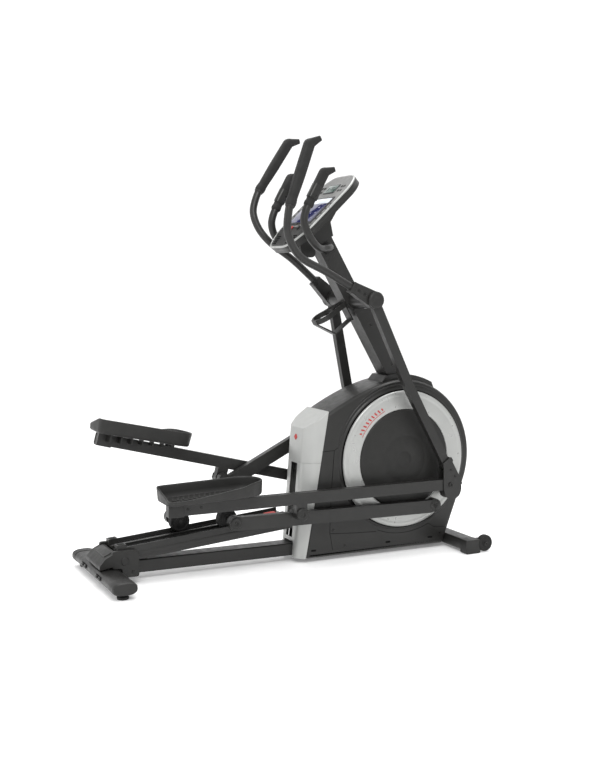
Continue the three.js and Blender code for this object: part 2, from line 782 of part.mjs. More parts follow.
// The foot pedal is a shallow tray; its outline is drawn for the left and mirrored for the right.
function buildPedal(name, side, parent) {
  const seatTop = pedalArm.rearCentre + pedalArm.depth / 2 + pedalArm.seatRise;
  const tray = (inset, from, to) => {
    const geometry = new THREE.ExtrudeGeometry(pedalOutline(inset), {
      depth: to - from,
      bevelEnabled: false,
      curveSegments: 8,
    });
    return solid(geometry.translate(0, 0, from));
  };
  const floorTop = pedal.floor;
  const middle = (pedalLayer.inner + pedalLayer.outer) / 2;
  const lowSide = sectionAlongX(
    [
      [middle, pedal.height],
      [pedalLayer.outer - 8, pedal.outerHeight],
      [pedalLayer.outer + 1, pedal.outerHeight],
      [pedalLayer.outer + 1, pedal.height + 1],
      [middle, pedal.height + 1],
    ],
    pedal.rear - 1,
    pedal.rear + pedal.length - pedal.nose,
  );
  const hollow = tray(pedal.wall, floorTop, pedal.height + 1);
  const walls = cut(tray(0, 0, pedal.height), hollow, lowSide);
  const tilt = THREE.MathUtils.degToRad(pedal.tilt);
  const postX = pedal.rear + 335;
  const postRise = (postX - pedal.rear) * Math.tan(tilt) - 2 * GAP;
  const slope = (pedalArm.hingeZ - pedalArm.rearCentre) / (pedalArm.hingeX + pedalArm.rear);
  const beamRise = slope * (postX + pedalArm.rear) - pedalArm.seatRise;
  const post = box(
    [postX - 12, pedalArmLayer.inner + 4, beamRise - postRise + 1],
    [postX + 12, pedalArmLayer.outer - 4, floorTop / 2],
  );
  const turn = new THREE.Matrix4().makeTranslation(pedal.rear, 0, seatTop + GAP);
  turn.multiply(new THREE.Matrix4().makeRotationY(-tilt));
  turn.multiply(new THREE.Matrix4().makeTranslation(-pedal.rear, 0, 0));
  const geometry = toGeometry(union(walls, post)).applyMatrix4(turn);
  let body = solid(geometry);
  if (side === RIGHT) {
    body = body.mirror([0, 1, 0]);
  }
  addPart(`pedal_${name}`, body, 'plastic', parent);
}

const legAxis = { kneeZ: -leg.bend, ankleX: 26, ankleZ: -800 };

// The sleeve that holds the upper bar leaves the hub up and to the rear.
const socketAngle = THREE.MathUtils.degToRad(127);
const socketDirection = [Math.cos(socketAngle), Math.sin(socketAngle)];

function barPath(side) {
  const { socketLength, socketDepth } = bar;
  const straight = [socketLength - socketDepth, socketLength - 10, socketLength, socketLength + 8];
  const { start, neck } = gripPath(side);
  return [
    ...straight.map((d) => [socketDirection[0] * d, side * legMiddle, socketDirection[1] * d]),
    [-157, side * (legMiddle + grip.spread * 0.13), 207],
    [-244, side * (legMiddle + grip.spread * 0.44), 307],
    [-272, side * (legMiddle + grip.spread * 0.71), 376],
    [-272, side * (legMiddle + grip.spread * 0.92), 445],
    start,
    along(start, neck, 4),
    along(start, neck, 30),
    along(start, neck, 90),
  ];
}

function gripPath(side) {
  const y = side * (legMiddle + grip.spread);
  return { start: [-233, y, 517], neck: [-44, y, 709], tip: [10, y, 710] };
}

function buildSwingLeg(name, side) {
  const { swingAngle } = pose[name];
  const group = sideGroup(swingPivot, swingAngle);
  const inner = side * legLayer.inner;
  const outer = side * legLayer.outer;
  const half = leg.depth / 2;
  const hub = barrel(0, 0, swing.hub, side * hubLayer.inner, side * hubLayer.outer, 28);
  const tube = plate(rounded([
    [-half, -10],
    [-half, legAxis.kneeZ],
    [legAxis.ankleX - half + 2, legAxis.ankleZ - 30],
    [legAxis.ankleX + half - 2, legAxis.ankleZ - 30],
    [half, legAxis.kneeZ],
    [half, -10],
  ], 30), inner, outer, 3);
  const normal = [-socketDirection[1], socketDirection[0]];
  const socketCorner = (distance, offset) => [
    socketDirection[0] * distance + normal[0] * offset,
    socketDirection[1] * distance + normal[1] * offset,
  ];
  const socket = plate(sharp([
    socketCorner(0, -swing.hub),
    socketCorner(bar.socketLength, -bar.socketHalf),
    socketCorner(bar.socketLength, bar.socketHalf),
    socketCorner(0, swing.hub),
  ]), side * (legLayer.inner - 4), side * (legLayer.outer + 4));
  const path = barPath(side);
  const socketBore = roundBar(
    [along(path[0], path[1], -3), along(path[0], path[1], bar.socketDepth + 30)],
    bar.radius + 2 * GAP,
    1,
    10,
  );
  const axleBore = barrel(0, 0, swing.axle + GAP, 0, side * (hubLayer.outer + BEYOND), 24);
  const body = cut(union(hub, tube, socket, buildAnkle(side)), socketBore, axleBore);
  addPart(`swing_leg_${name}`, body, 'frame', group);
  buildSwingBar(name, side, group, path);
}

// The U-shaped bracket at the bottom of the leg, open to the rear, with the hinge pin across it.
function buildAnkle(side) {
  const cheekShape = rounded([
    [2, -812],
    [50, -798],
    [58, -908],
    [42, -950],
    [20, -972],
    [-14, -974],
    [-46, -944],
    [-40, -905],
  ], 14);
  const inner = pedalArmLayer.inner - RUNNING_GAP;
  const outer = pedalArmLayer.outer + RUNNING_GAP;
  const cheeks = [[inner - leg.cheek, inner], [outer, outer + leg.cheek]].map(
    ([from, to]) => plate(cheekShape, side * from, side * to, 4),
  );
  const web = plate(sharp([
    [2, -812],
    [50, -798],
    [58, -908],
    [56, -930],
    [50, -930],
    [50, -905],
    [43, -840],
    [8, -846],
  ]), side * (inner - leg.cheek), side * (outer + leg.cheek));
  const pinEnd = side * (outer + leg.cheek);
  const pin = barrel(0, -swing.length, pedalArm.pin, side * (inner - leg.cheek), pinEnd, 20);
  return union(...cheeks, web, pin);
}

// A soft sleeve along start, neck and tip, bored for the end of its bar.
function gripSleeve({ start, neck, tip }, { radius, bore }) {
  const points = [along(start, neck, 8), along(start, neck, bore), along(start, neck, bore + 20), neck, tip];
  const hole = roundBar([along(start, neck, -20), along(start, neck, bore)], bar.radius + 2 * GAP, 1, 10);
  return cut(roundBar(points, radius, 14, 7), hole);
}

function buildSwingBar(name, side, group, path) {
  addPart(`swing_bar_${name}`, roundBar(path, bar.radius, 26), 'frame', group);
  addPart(`swing_grip_${name}`, gripSleeve(gripPath(side), grip), 'rubber', group);
}

function buildSwingAxle() {
  const end = hubLayer.outer - 2;
  addPart('swing_axle', barrel(swing.x, swing.z, swing.axle, -end, end, 24), 'steel');
}

// ---------------------------------------------------------------- shroud

function rearEdge(z) {
  return shroud.rearFoot + shroud.rearLean * z;
}

// The drive cover's side outline, moved inwards by the inset.
function shroudOutline(inset, openRear) {
  const radius = shroud.radius - inset;
  const base = shroud.base + inset;
  const rearShift = openRear ? -60 : inset;
  const shoulder = THREE.MathUtils.degToRad(100);
  const heel = THREE.MathUtils.degToRad(-27);
  const rearTop = 640 - inset;
  const shape = new THREE.Shape();
  shape.moveTo(rearEdge(base) + rearShift, base);
  shape.lineTo(750 - inset, base);
  shape.lineTo(crank.x + radius * Math.cos(heel), crank.z + radius * Math.sin(heel));
  shape.absarc(crank.x, crank.z, radius, heel, shoulder, false);
  shape.quadraticCurveTo(
    330,
    738 - inset * 1.1,
    rearEdge(rearTop) + 18 + rearShift,
    rearTop,
  );
  shape.closePath();
  return shape;
}

function buildShroud() {
  const railRoom = box([-100, -rail.halfWidth - 2, 0], [900, rail.halfWidth + 2, rail.rearTop + 2]);
  for (const [name, side] of Object.entries(SIDES)) {
    const outer = plate(shroudOutline(0, false), side * (GAP / 2), side * shroud.halfWidth, 20);
    const inner = plate(
      shroudOutline(shroud.wall, true),
      -side,
      side * (shroud.halfWidth - shroud.wall),
      20,
    );
    const face = [shroud.halfWidth - shroud.wall - 1, shroud.halfWidth + 1];
    const axleHole = barrel(crank.x, crank.z, crank.axle + 4, side * face[0], side * face[1], 24);
    const tools = [inner, axleHole, railRoom, uprightPost(3)];
    if (side === LEFT) {
      const { x, z, width, height } = inlet;
      tools.push(sideBox(side, [x - width / 2, x + width / 2], face, [z - height / 2, z + height / 2]));
    }
    addPart(`shroud_${name}`, cut(outer, ...tools), 'plastic');
  }
}

function shieldPlan(inset) {
  const rear = shield.rearFoot + inset;
  const narrow = shield.rearHalf - inset;
  const wide = shroud.halfWidth - inset;
  return rounded([
    [rear, -narrow],
    [rear + shield.taper - inset, -wide],
    [300, -wide],
    [300, wide],
    [rear + shield.taper - inset, wide],
    [rear, narrow],
  ], 18);
}

function shieldSide(inset) {
  const front = inset ? 60 : -GAP;
  return sharp([
    [-80, shroud.base - (inset ? 40 : 0)],
    [rearEdge(shroud.base) + front, shroud.base - (inset ? 40 : 0)],
    [rearEdge(650 - inset) + front + 18, 650 - inset],
    [62 + inset / 2, 576 - inset],
    [-80, 520 - inset],
  ]);
}

function shieldBody(inset) {
  const geometry = new THREE.ExtrudeGeometry(shieldPlan(inset), {
    depth: 720,
    bevelEnabled: false,
    curveSegments: 4,
  });
  geometry.applyMatrix4(new THREE.Matrix4().makeShear(0, 0, 0, 0, shield.rearLean, 0));
  return solid(geometry).intersect(
    plate(shieldSide(inset), -shroud.halfWidth - BEYOND, shroud.halfWidth + BEYOND),
  );
}

function buildShields() {
  const shell = cut(shieldBody(0), shieldBody(shroud.wall));
  const slot = box([-40, -shield.slotHalf, 104], [118, shield.slotHalf, shield.split - 6]);
  const railRoom = box([-100, -rail.halfWidth - 2, 0], [300, rail.halfWidth + 2, rail.rearTop + 2]);
  const reach = shroud.halfWidth + BEYOND;
  const below = box([-120, -reach, 0], [400, reach, shield.split - GAP / 2]);
  addPart('rear_shield_upper', cut(shell, below), 'silver');
  addPart('rear_shield_lower', cut(shell.intersect(below), slot, railRoom), 'silver');
}

function buildTopCover() {
  const from = THREE.MathUtils.degToRad(topCover.from);
  const to = THREE.MathUtils.degToRad(topCover.to);
  const inner = shroud.radius + GAP;
  const shape = new THREE.Shape();
  shape.absarc(crank.x, crank.z, inner + topCover.thickness, from + 0.08, to - 0.08, false);
  shape.absarc(crank.x, crank.z, inner, to, from, true);
  shape.closePath();
  const cover = plate(shape, -topCover.halfWidth, topCover.halfWidth, 14);
  addPart('top_cover', cut(cover, uprightPost(3), lowerMastSolid(1.5, false)), 'plastic');
}

function buildInlet() {
  const { x, z, width, height, depth } = inlet;
  const outer = shroud.halfWidth - RUNNING_GAP;
  const shell = sideBox(
    LEFT,
    [x - width / 2 + GAP, x + width / 2 - GAP],
    [outer - depth, outer],
    [z - height / 2 + GAP, z + height / 2 - GAP],
  );
  const socket = sideBox(LEFT, [x - 13, x + 13], [outer - depth + 5, outer + 1], [z - 9, z + 9]);
  addPart('power_inlet', cut(shell, socket), 'rubber');
}

// ---------------------------------------------------------------- mast

// A point on the mast's axis, measured up it from the swing pivot, and across it towards the front.
function mastPoint(distance, across) {
  const lean = THREE.MathUtils.degToRad(mast.lean);
  return new THREE.Vector2(
    swing.x - 10 - Math.sin(lean) * distance + Math.cos(lean) * across,
    swing.z + Math.cos(lean) * distance + Math.sin(lean) * across,
  );
}

const lowerMastTop = swing.z - lowerMast.drop;

function lowerMastSolid(offset, cavity) {
  const wall = cavity ? lowerMast.wall : -offset;
  const top = lowerMastTop - (cavity ? lowerMast.wall : 0);
  const slope = Math.tan(THREE.MathUtils.degToRad(mast.lean));
  const rearTop = swing.x + lowerMast.rear;
  const frontTop = swing.x + lowerMast.front;
  const base = lowerMast.base - (cavity ? 30 : 0);
  const rearBase = rearTop + (top - base) * slope;
  const frontBase = frontTop + (top - base) * (slope + 0.05);
  return plate(sharp([
    [rearTop + wall, top],
    [frontTop - wall, top],
    [frontBase - wall, base],
    [rearBase + wall, base],
  ]), -lowerMast.halfWidth + wall, lowerMast.halfWidth - wall);
}

function buildMast() {
  addPart('lower_mast', cut(lowerMastSolid(0, false), lowerMastSolid(0, true)), 'frame');
  const mastFoot = lowerMastTop + GAP;
  const half = mast.depth / 2;
  const lowRear = mastPoint(-60, -half);
  const lowFront = mastPoint(-60, half);
  const post = plate(rounded([
    [lowRear.x, lowRear.y],
    [lowFront.x, lowFront.y],
    [mastPoint(mast.top, half).x, mastPoint(mast.top, half).y],
    [mastPoint(mast.top, -half).x, mastPoint(mast.top, -half).y],
  ], 4), -mast.halfWidth, mast.halfWidth, 2);
  const crossHalf = hubLayer.inner - 3 * RUNNING_GAP;
  const crossTube = barrel(swing.x, swing.z, mast.crossRadius, -crossHalf, crossHalf, 28);
  const past = crossHalf + BEYOND;
  const below = box([0, -past, mastFoot - 200], [700, past, mastFoot]);
  const axleBore = barrel(swing.x, swing.z, swing.axle + GAP, -past, past, 24);
  const clamp = clampPoint();
  const barBore = barrel(clamp.x, clamp.y, bar.radius + 2 * GAP, -past, past, 28);
  addPart('upper_mast', cut(union(post, crossTube), below, axleBore, barBore), 'frame');
}

// The bottle holder's own frame has Z along the mast and X towards the front.
function buildBottleHolder() {
  const group = new THREE.Group();
  const origin = mastPoint(0, 0);
  group.position.set(origin.x, 0, origin.y);
  group.rotation.y = -THREE.MathUtils.degToRad(mast.lean);
  object.add(group);
  const { inner, outer, height, reach, seatDrop, plateDrop, strap, strapHalf } = bottle;
  const profile = [
    [inner, 0],
    [outer, 0],
    [outer, height],
    [inner, height],
    [inner, 0],
  ].map(([radius, z]) => new THREE.Vector2(radius, z));
  const ring = new THREE.LatheGeometry(profile, 28).rotateX(Math.PI / 2).translate(-reach, 0, -height / 2);
  const face = -mast.depth / 2 - GAP;
  const plateHalf = mast.halfWidth - 8;
  const backPlate = box([face - strap, -plateHalf, -plateDrop], [face, plateHalf, height / 2]);
  const arms = Object.values(SIDES).map((side) => {
    const outline = sharp([
      [-reach, side * (inner + 1)],
      [face - 1, side * (plateHalf - strap)],
      [face - 1, side * plateHalf],
      [-reach, side * (outer - 1)],
    ]);
    const geometry = new THREE.ExtrudeGeometry(outline, { depth: height, bevelEnabled: false });
    return solid(geometry.translate(0, 0, -height / 2));
  });
  const vertex = [-reach + 8, -seatDrop];
  const cradle = plate(sharp([
    [-reach - outer, height / 2],
    [-reach - outer, -height / 2],
    [vertex[0] - strap / 2, vertex[1]],
    [vertex[0] + strap / 2, vertex[1]],
    [face - 1, -plateDrop],
    [face - 1, -plateDrop + strap],
    [vertex[0] + strap / 2, vertex[1] + strap],
    [-reach - inner, -height / 2],
    [-reach - inner, height / 2],
  ]), -strapHalf, strapHalf);
  addPart('bottle_holder', union(solid(ring), backPlate, ...arms, cradle), 'plastic', group);
}

// ---------------------------------------------------------------- console

// The console and the fixed handlebar are placed from the middle of the mast's top.
const mastHead = mastPoint(mast.top, 0);
const consoleOrigin = mastHead.clone().sub(new THREE.Vector2(consoleUnit.back, consoleUnit.drop));
const consoleGroup = new THREE.Group();
consoleGroup.position.set(consoleOrigin.x, 0, consoleOrigin.y);
consoleGroup.rotation.y = -THREE.MathUtils.degToRad(consoleUnit.tilt);
object.add(consoleGroup);

// The console's own frame has X up the face, Y across it and Z out of it.
function consoleOutline(inset) {
  const { length, halfWidth } = consoleUnit;
  return rounded([
    [inset, -70 + inset],
    [22 + inset, -104 + inset / 2],
    [104 + inset, -halfWidth + inset],
    [length - 76, -halfWidth + inset],
    [length - 24 - inset / 2, -halfWidth + 34 + inset / 2],
    [length - inset, -80],
    [length - inset, 80],
    [length - 24 - inset / 2, halfWidth - 34 - inset / 2],
    [length - 76, halfWidth - inset],
    [104 + inset, halfWidth - inset],
    [22 + inset, 104 - inset / 2],
    [inset, 70 - inset],
  ], 34);
}

function consolePlate(shape, from, to, curveSegments = 5) {
  const geometry = new THREE.ExtrudeGeometry(shape, { depth: to - from, bevelEnabled: false, curveSegments });
  return solid(geometry.translate(0, 0, from));
}

function panel(area, grow, from, to) {
  return box(
    [area.low - grow, -area.halfWidth - grow, from],
    [area.high + grow, area.halfWidth + grow, to],
  );
}

function pin(x, y, radius, from, to) {
  const geometry = new THREE.CylinderGeometry(radius, radius, to - from, 24);
  return solid(geometry.rotateX(Math.PI / 2).translate(x, y, (from + to) / 2));
}

function buildConsole() {
  const { depth, face } = consoleUnit;
  const keys = { start_button: -button.v, stop_button: button.v };
  const upperBody = consolePlate(consoleOutline(2), -depth, -face - GAP);
  const faceBody = consolePlate(consoleOutline(0), -face, 0);
  let housing = union(upperBody, neckBlock(depth), consolePod());
  let cover = cut(faceBody, panel(display, GAP, -face - 1, 1), panel(lcd, GAP, -face - 1, 1));
  for (const [name, v] of Object.entries(keys)) {
    housing = cut(housing, pin(button.u, v, button.radius + GAP, -face - button.travel - 6, 1));
    cover = cut(cover, pin(button.u, v, button.radius + GAP, -face - 1, 1));
    const key = pin(button.u, v, button.radius, -face - 3, button.height - face);
    addPart(name, key, 'rubber', consoleGroup);
  }
  addPart('console_housing', housing, 'plastic', consoleGroup);
  addPart('console_face', cover, 'silver', consoleGroup);
  addPart('console_display', panel(display, 0, -face, -1), 'screen', consoleGroup);
  addPart('console_lcd', panel(lcd, 0, -face, -1), 'screen', consoleGroup);
}

// A point of the X-Z plane in the console's own frame.
function toConsole(x, z) {
  const tilt = THREE.MathUtils.degToRad(consoleUnit.tilt);
  return turned(x - consoleOrigin.x, z - consoleOrigin.y, -tilt);
}

// The block between the mast's top and the back of the console.
function neckBlock(depth) {
  const half = mast.depth / 2 + 4;
  const rear = mastPoint(mast.top + GAP, -half);
  const front = mastPoint(mast.top + GAP, half);
  const outline = [
    [rear.x, rear.y],
    [front.x, front.y],
    [mastHead.x + 25, mastHead.y + 79.6],
    [mastHead.x + 73, mastHead.y + 157.6],
    [mastHead.x + 38, mastHead.y + 172.6],
    [mastHead.x - 72, mastHead.y + 67.6],
    [rear.x - 9, rear.y + 16],
  ];
  const shape = sharp(outline.map(([x, z]) => toConsole(x, z).toArray()));
  const back = box([60, -60, -depth - 14], [330, 60, -depth + 1]);
  return union(plate(shape, -46, 46), back);
}

// The rounded belly under the console's lower edge.
function consolePod() {
  const points = [[-125, 19.6], [-111, -54.4], [-91, -70.4], [-55, -70.4], [-43, -56.4], [-65, 29.6]];
  const shape = rounded(
    points.map(([x, z]) => toConsole(mastHead.x + x, mastHead.y + z).toArray()),
    12,
  );
  return plate(shape, -44, 44, 3);
}

// ---------------------------------------------------------------- fixed handlebar

// A point given from the middle of the mast's top.
function fromHead(x, y, z) {
  return [mastHead.x + x, y, mastHead.y + z];
}

// The handlebar passes through the mast here, just below the mast's top.
function clampPoint() {
  return mastPoint(mast.top - handlebar.clampDrop, 0);
}

function fixedGripPath(side) {
  const y = side * handlebar.halfSpread;
  return { start: fromHead(-144, y, 128.6), neck: fromHead(-64, y, 275), tip: fromHead(-18, y, 289) };
}

function buildFixedHandlebar() {
  const { start, neck } = fixedGripPath(LEFT);
  const { halfSpread } = handlebar;
  const clamp = clampPoint();
  const half = [
    along(start, neck, 82),
    along(start, neck, 30),
    along(start, neck, 4),
    start,
    fromHead(-157, halfSpread, 79.6),
    fromHead(-139, halfSpread + 3, 23.6),
    fromHead(-95, halfSpread - 14, -22.4),
    fromHead(-50, halfSpread - 52, -34.4),
    fromHead(-10, mast.halfWidth + 50, -31.4),
    [clamp.x, mast.halfWidth + 22, clamp.y],
    [clamp.x, mast.halfWidth + 8, clamp.y],
    [clamp.x, mast.halfWidth - 10, clamp.y],
    [clamp.x, 4, clamp.y],
  ];
  const right = half.map(([x, y, z]) => [x, -y, z]);
  const left = half.slice().reverse();
  addPart('fixed_handlebar', roundBar([...right, ...left], bar.radius, 48), 'frame');
  for (const [name, side] of Object.entries(SIDES)) {
    addPart(`fixed_grip_${name}`, gripSleeve(fixedGripPath(side), fixedGrip), 'rubber');
  }
}

// ---------------------------------------------------------------- assembly

buildBaseRail();
buildRearStabiliser();
buildFrontStabiliser();
buildPivotCover();
buildRamp();
buildLift();
buildUpright();
buildDrive();
buildShroud();
buildShields();
buildTopCover();
buildInlet();
buildMast();
buildSwingAxle();
buildBottleHolder();
buildConsole();
buildFixedHandlebar();
for (const [name, side] of Object.entries(SIDES)) {
  buildCrankSide(name, side);
  buildRollerArm(name, side);
  buildPedalArm(name, side);
  buildSwingLeg(name, side);
}
object.position.x = machine.originShift;

export default object;
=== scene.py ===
"""Looks for the front-drive elliptical trainer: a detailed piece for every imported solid."""

import json
from math import atan2, cos, pi, radians, sin

import bmesh
import bpy
from mathutils import Matrix, Vector

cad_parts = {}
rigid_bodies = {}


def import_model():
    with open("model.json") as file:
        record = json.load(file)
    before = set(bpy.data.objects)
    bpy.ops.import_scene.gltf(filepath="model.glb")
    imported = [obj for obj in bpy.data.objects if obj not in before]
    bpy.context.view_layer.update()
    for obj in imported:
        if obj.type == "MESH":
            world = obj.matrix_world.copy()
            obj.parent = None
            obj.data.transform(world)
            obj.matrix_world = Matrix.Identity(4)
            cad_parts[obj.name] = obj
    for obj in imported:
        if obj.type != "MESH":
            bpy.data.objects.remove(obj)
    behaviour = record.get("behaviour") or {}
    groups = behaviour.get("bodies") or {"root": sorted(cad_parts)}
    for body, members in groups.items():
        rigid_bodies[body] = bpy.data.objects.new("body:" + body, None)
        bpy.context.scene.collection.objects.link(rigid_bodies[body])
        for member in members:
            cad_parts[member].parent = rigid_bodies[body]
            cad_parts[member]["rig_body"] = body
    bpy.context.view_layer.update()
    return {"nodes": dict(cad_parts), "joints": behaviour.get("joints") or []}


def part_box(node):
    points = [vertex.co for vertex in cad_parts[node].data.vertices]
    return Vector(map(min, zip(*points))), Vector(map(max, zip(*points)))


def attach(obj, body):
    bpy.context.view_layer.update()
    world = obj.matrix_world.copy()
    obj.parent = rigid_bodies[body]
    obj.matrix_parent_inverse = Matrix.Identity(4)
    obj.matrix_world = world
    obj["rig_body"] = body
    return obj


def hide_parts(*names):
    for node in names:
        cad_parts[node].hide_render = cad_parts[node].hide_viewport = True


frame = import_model()
SIDES = {"right": -1, "left": 1}
JOINTS = {joint["name"]: joint for joint in frame["joints"]}

# ---------------------------------------------------------------- materials


def new_material(name):
    made = bpy.data.materials.new(name)
    made.use_nodes = True
    nodes = made.node_tree.nodes
    return made, nodes, made.node_tree.links, nodes["Principled BSDF"]


def ramp_between(nodes, links, factor, low, high, start=0.3, end=0.7):
    """A colour that goes from low to high as the factor does."""
    ramp = nodes.new("ShaderNodeValToRGB")
    ramp.color_ramp.elements[0].position = start
    ramp.color_ramp.elements[1].position = end
    ramp.color_ramp.elements[0].color = low
    ramp.color_ramp.elements[1].color = high
    links.new(factor, ramp.inputs["Fac"])
    return ramp.outputs["Color"]


def noise(nodes, links, coordinates, scale, detail=3.0):
    texture = nodes.new("ShaderNodeTexNoise")
    texture.inputs["Scale"].default_value = scale
    texture.inputs["Detail"].default_value = detail
    links.new(coordinates, texture.inputs["Vector"])
    return texture.outputs["Fac"]


def surface(name, colour, roughness, metallic=0.0, grain=900.0, depth=0.12, coat=0.0,
            vary=0.12, cells=False, specular=0.34):
    """A finish with fine grain in its bump and soft patches in its colour and roughness."""
    made, nodes, links, shader = new_material(name)
    where = nodes.new("ShaderNodeTexCoord").outputs["Object"]
    patches = noise(nodes, links, where, 9.0, 5.0)
    low = [channel * (1 - vary) for channel in colour] + [1]
    high = [channel * (1 + vary) for channel in colour] + [1]
    links.new(ramp_between(nodes, links, patches, low, high), shader.inputs["Base Color"])
    smears = noise(nodes, links, where, 34.0, 6.0)
    rough_low = [max(roughness - 0.07, 0.02)] * 3 + [1]
    rough_high = [min(roughness + 0.07, 1.0)] * 3 + [1]
    links.new(
        ramp_between(nodes, links, smears, rough_low, rough_high), shader.inputs["Roughness"]
    )
    if cells:
        texture = nodes.new("ShaderNodeTexVoronoi")
        texture.inputs["Scale"].default_value = grain
        links.new(where, texture.inputs["Vector"])
        height = texture.outputs["Distance"]
    else:
        height = noise(nodes, links, where, grain, 2.0)
    bump = nodes.new("ShaderNodeBump")
    bump.inputs["Strength"].default_value = depth
    bump.inputs["Distance"].default_value = 0.0004
    links.new(height, bump.inputs["Height"])
    links.new(bump.outputs["Normal"], shader.inputs["Normal"])
    shader.inputs["Metallic"].default_value = metallic
    shader.inputs["Specular IOR Level"].default_value = specular
    shader.inputs["Coat Weight"].default_value = coat
    shader.inputs["Coat Roughness"].default_value = 0.25
    return made


def glowing(name, colour, strength, stripes=0.0):
    """A lit window, with the fine lines of its pixels."""
    made, nodes, links, shader = new_material(name)
    shader.inputs["Base Color"].default_value = [*colour, 1]
    shader.inputs["Roughness"].default_value = 0.12
    shader.inputs["Coat Weight"].default_value = 0.6
    shader.inputs["Emission Strength"].default_value = strength
    where = nodes.new("ShaderNodeTexCoord").outputs["Object"]
    dark = [channel * (1 - stripes) for channel in colour] + [1]
    shade = noise(nodes, links, where, 420.0, 1.0)
    links.new(
        ramp_between(nodes, links, shade, dark, [*colour, 1]), shader.inputs["Emission Color"]
    )
    return made


POWDER = surface("powder_coat", (0.0135, 0.0133, 0.0125), 0.40, 0.0, 1400, 0.20, 0.06, cells=True)
PLASTIC = surface("black_plastic", (0.0125, 0.0123, 0.0115), 0.48, 0.0, 1100, 0.16)
COVER = surface("cover_plastic", (0.0120, 0.0118, 0.0110), 0.40, 0.0, 1300, 0.10, 0.06)
DISC = surface("disc_plastic", (0.0105, 0.0103, 0.0095), 0.50, 0.0, 800, 0.15)
SILVER = surface("silver_plastic", (0.36, 0.365, 0.355), 0.32, 0.45, 1700, 0.06, 0.25, 0.04)
SHIELD = surface("shield_silver", (0.36, 0.365, 0.355), 0.36, 0.30, 1700, 0.06, 0.2, 0.04)
FACE = surface("face_silver", (0.10, 0.10, 0.097), 0.40, 0.25, 1500, 0.08, 0.1, 0.05)
RUBBER = surface("black_rubber", (0.0105, 0.0103, 0.0100), 0.70, 0.0, 700, 0.35, cells=True)
TREAD = surface("tread_rubber", (0.0170, 0.0168, 0.0160), 0.60, 0.0, 650, 0.35, cells=True)
STEEL = surface("steel", (0.36, 0.36, 0.35), 0.30, 0.95, 500, 0.08)
BLACK_STEEL = surface("black_steel", (0.030, 0.030, 0.029), 0.30, 0.6, 700, 0.10)
# Near black for the real seam lines, and for painted shade in recesses, slots, slits, a groove and the gap
# round the disc ring.
SEAM_AND_SHADE = surface("seam_shadow", (0.003, 0.003, 0.003), 0.9, specular=0.1)
RED = surface("red_print", (0.36, 0.030, 0.026), 0.5, 0.0, 900, 0.05)
RUNNER = surface("track_strip", (0.008, 0.008, 0.008), 0.22, 0.0, 500, 0.06, 0.2)
LCD = glowing("lcd_green", (0.040, 0.075, 0.062), 0.15, 0.3)
BLUE = glowing("display_blue", (0.008, 0.010, 0.060), 0.30, 0.4)
PALE = glowing("display_pale", (0.50, 0.53, 0.57), 0.45, 0.1)
VIOLET = glowing("display_violet", (0.07, 0.065, 0.20), 0.3, 0.5)
INK = surface("display_ink", (0.006, 0.006, 0.008), 0.3)

# ---------------------------------------------------------------- making pieces


def piece(name, mesh, body, material, nodes=(), smooth=35.0):
    """Puts a finished mesh on its body, in place of the CAD nodes it stands for."""
    mesh.materials.clear()
    mesh.materials.append(material)
    mesh.polygons.foreach_set("use_smooth", [True] * len(mesh.polygons))
    mesh.set_sharp_from_angle(angle=radians(smooth))
    made = bpy.data.objects.new(name, mesh)
    bpy.context.scene.collection.objects.link(made)
    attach(made, body)
    if nodes:
        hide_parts(*nodes)
    return made


def mesh_of(name, verts, faces):
    bm = bmesh.new()
    made = [bm.verts.new(v) for v in verts]
    for face in faces:
        bm.faces.new([made[i] for i in face])
    bmesh.ops.recalc_face_normals(bm, faces=bm.faces)
    mesh = bpy.data.meshes.new(name)
    bm.to_mesh(mesh)
    bm.free()
    return mesh


def joined(name, meshes):
    """One mesh that holds copies of several."""
    bm = bmesh.new()
    for mesh in meshes:
        bm.from_mesh(mesh)
    made = bpy.data.meshes.new(name)
    bm.to_mesh(made)
    bm.free()
    return made


def bevelled(made, width, segments=3, angle=30.0):
    bevel = made.modifiers.new("edge", "BEVEL")
    bevel.width = width
    bevel.segments = segments
    bevel.limit_method = "ANGLE"
    bevel.angle_limit = radians(angle)
    bevel.harden_normals = True
    return made


def refined(node, material, width=0.002, segments=3, angle=30.0):
    """The solid of a CAD node with clean faces and rounded edges."""
    bm = bmesh.new()
    bm.from_mesh(frame["nodes"][node].data)
    bmesh.ops.remove_doubles(bm, verts=bm.verts, dist=2e-6)
    bmesh.ops.dissolve_limit(
        bm, angle_limit=radians(0.8), verts=bm.verts, edges=bm.edges, delimit=set()
    )
    mesh = bpy.data.meshes.new("look_" + node)
    bm.to_mesh(mesh)
    bm.free()
    body = frame["nodes"][node]["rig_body"]
    made = piece("look_" + node, mesh, body, material, [node])
    return bevelled(made, width, segments, angle)


def side_point(origin, angle, u, w):
    """A point of the X-Z plane given in a frame turned by the angle at the origin."""
    return (
        origin[0] + u * cos(angle) - w * sin(angle),
        origin[1] + u * sin(angle) + w * cos(angle),
    )


def inset_outline(points, distance):
    """The closed outline moved inwards; its points run anticlockwise."""
    moved = []
    count = len(points)
    for index, (x, z) in enumerate(points):
        before, after = points[index - 1], points[(index + 1) % count]
        first = Vector((x - before[0], z - before[1])).normalized()
        second = Vector((after[0] - x, after[1] - z)).normalized()
        normal = Vector((-first.y - second.y, first.x + second.x))
        scale = distance / max(normal.length_squared / 2, 0.35)
        moved.append((x + normal.x * scale, z + normal.y * scale))
    return moved


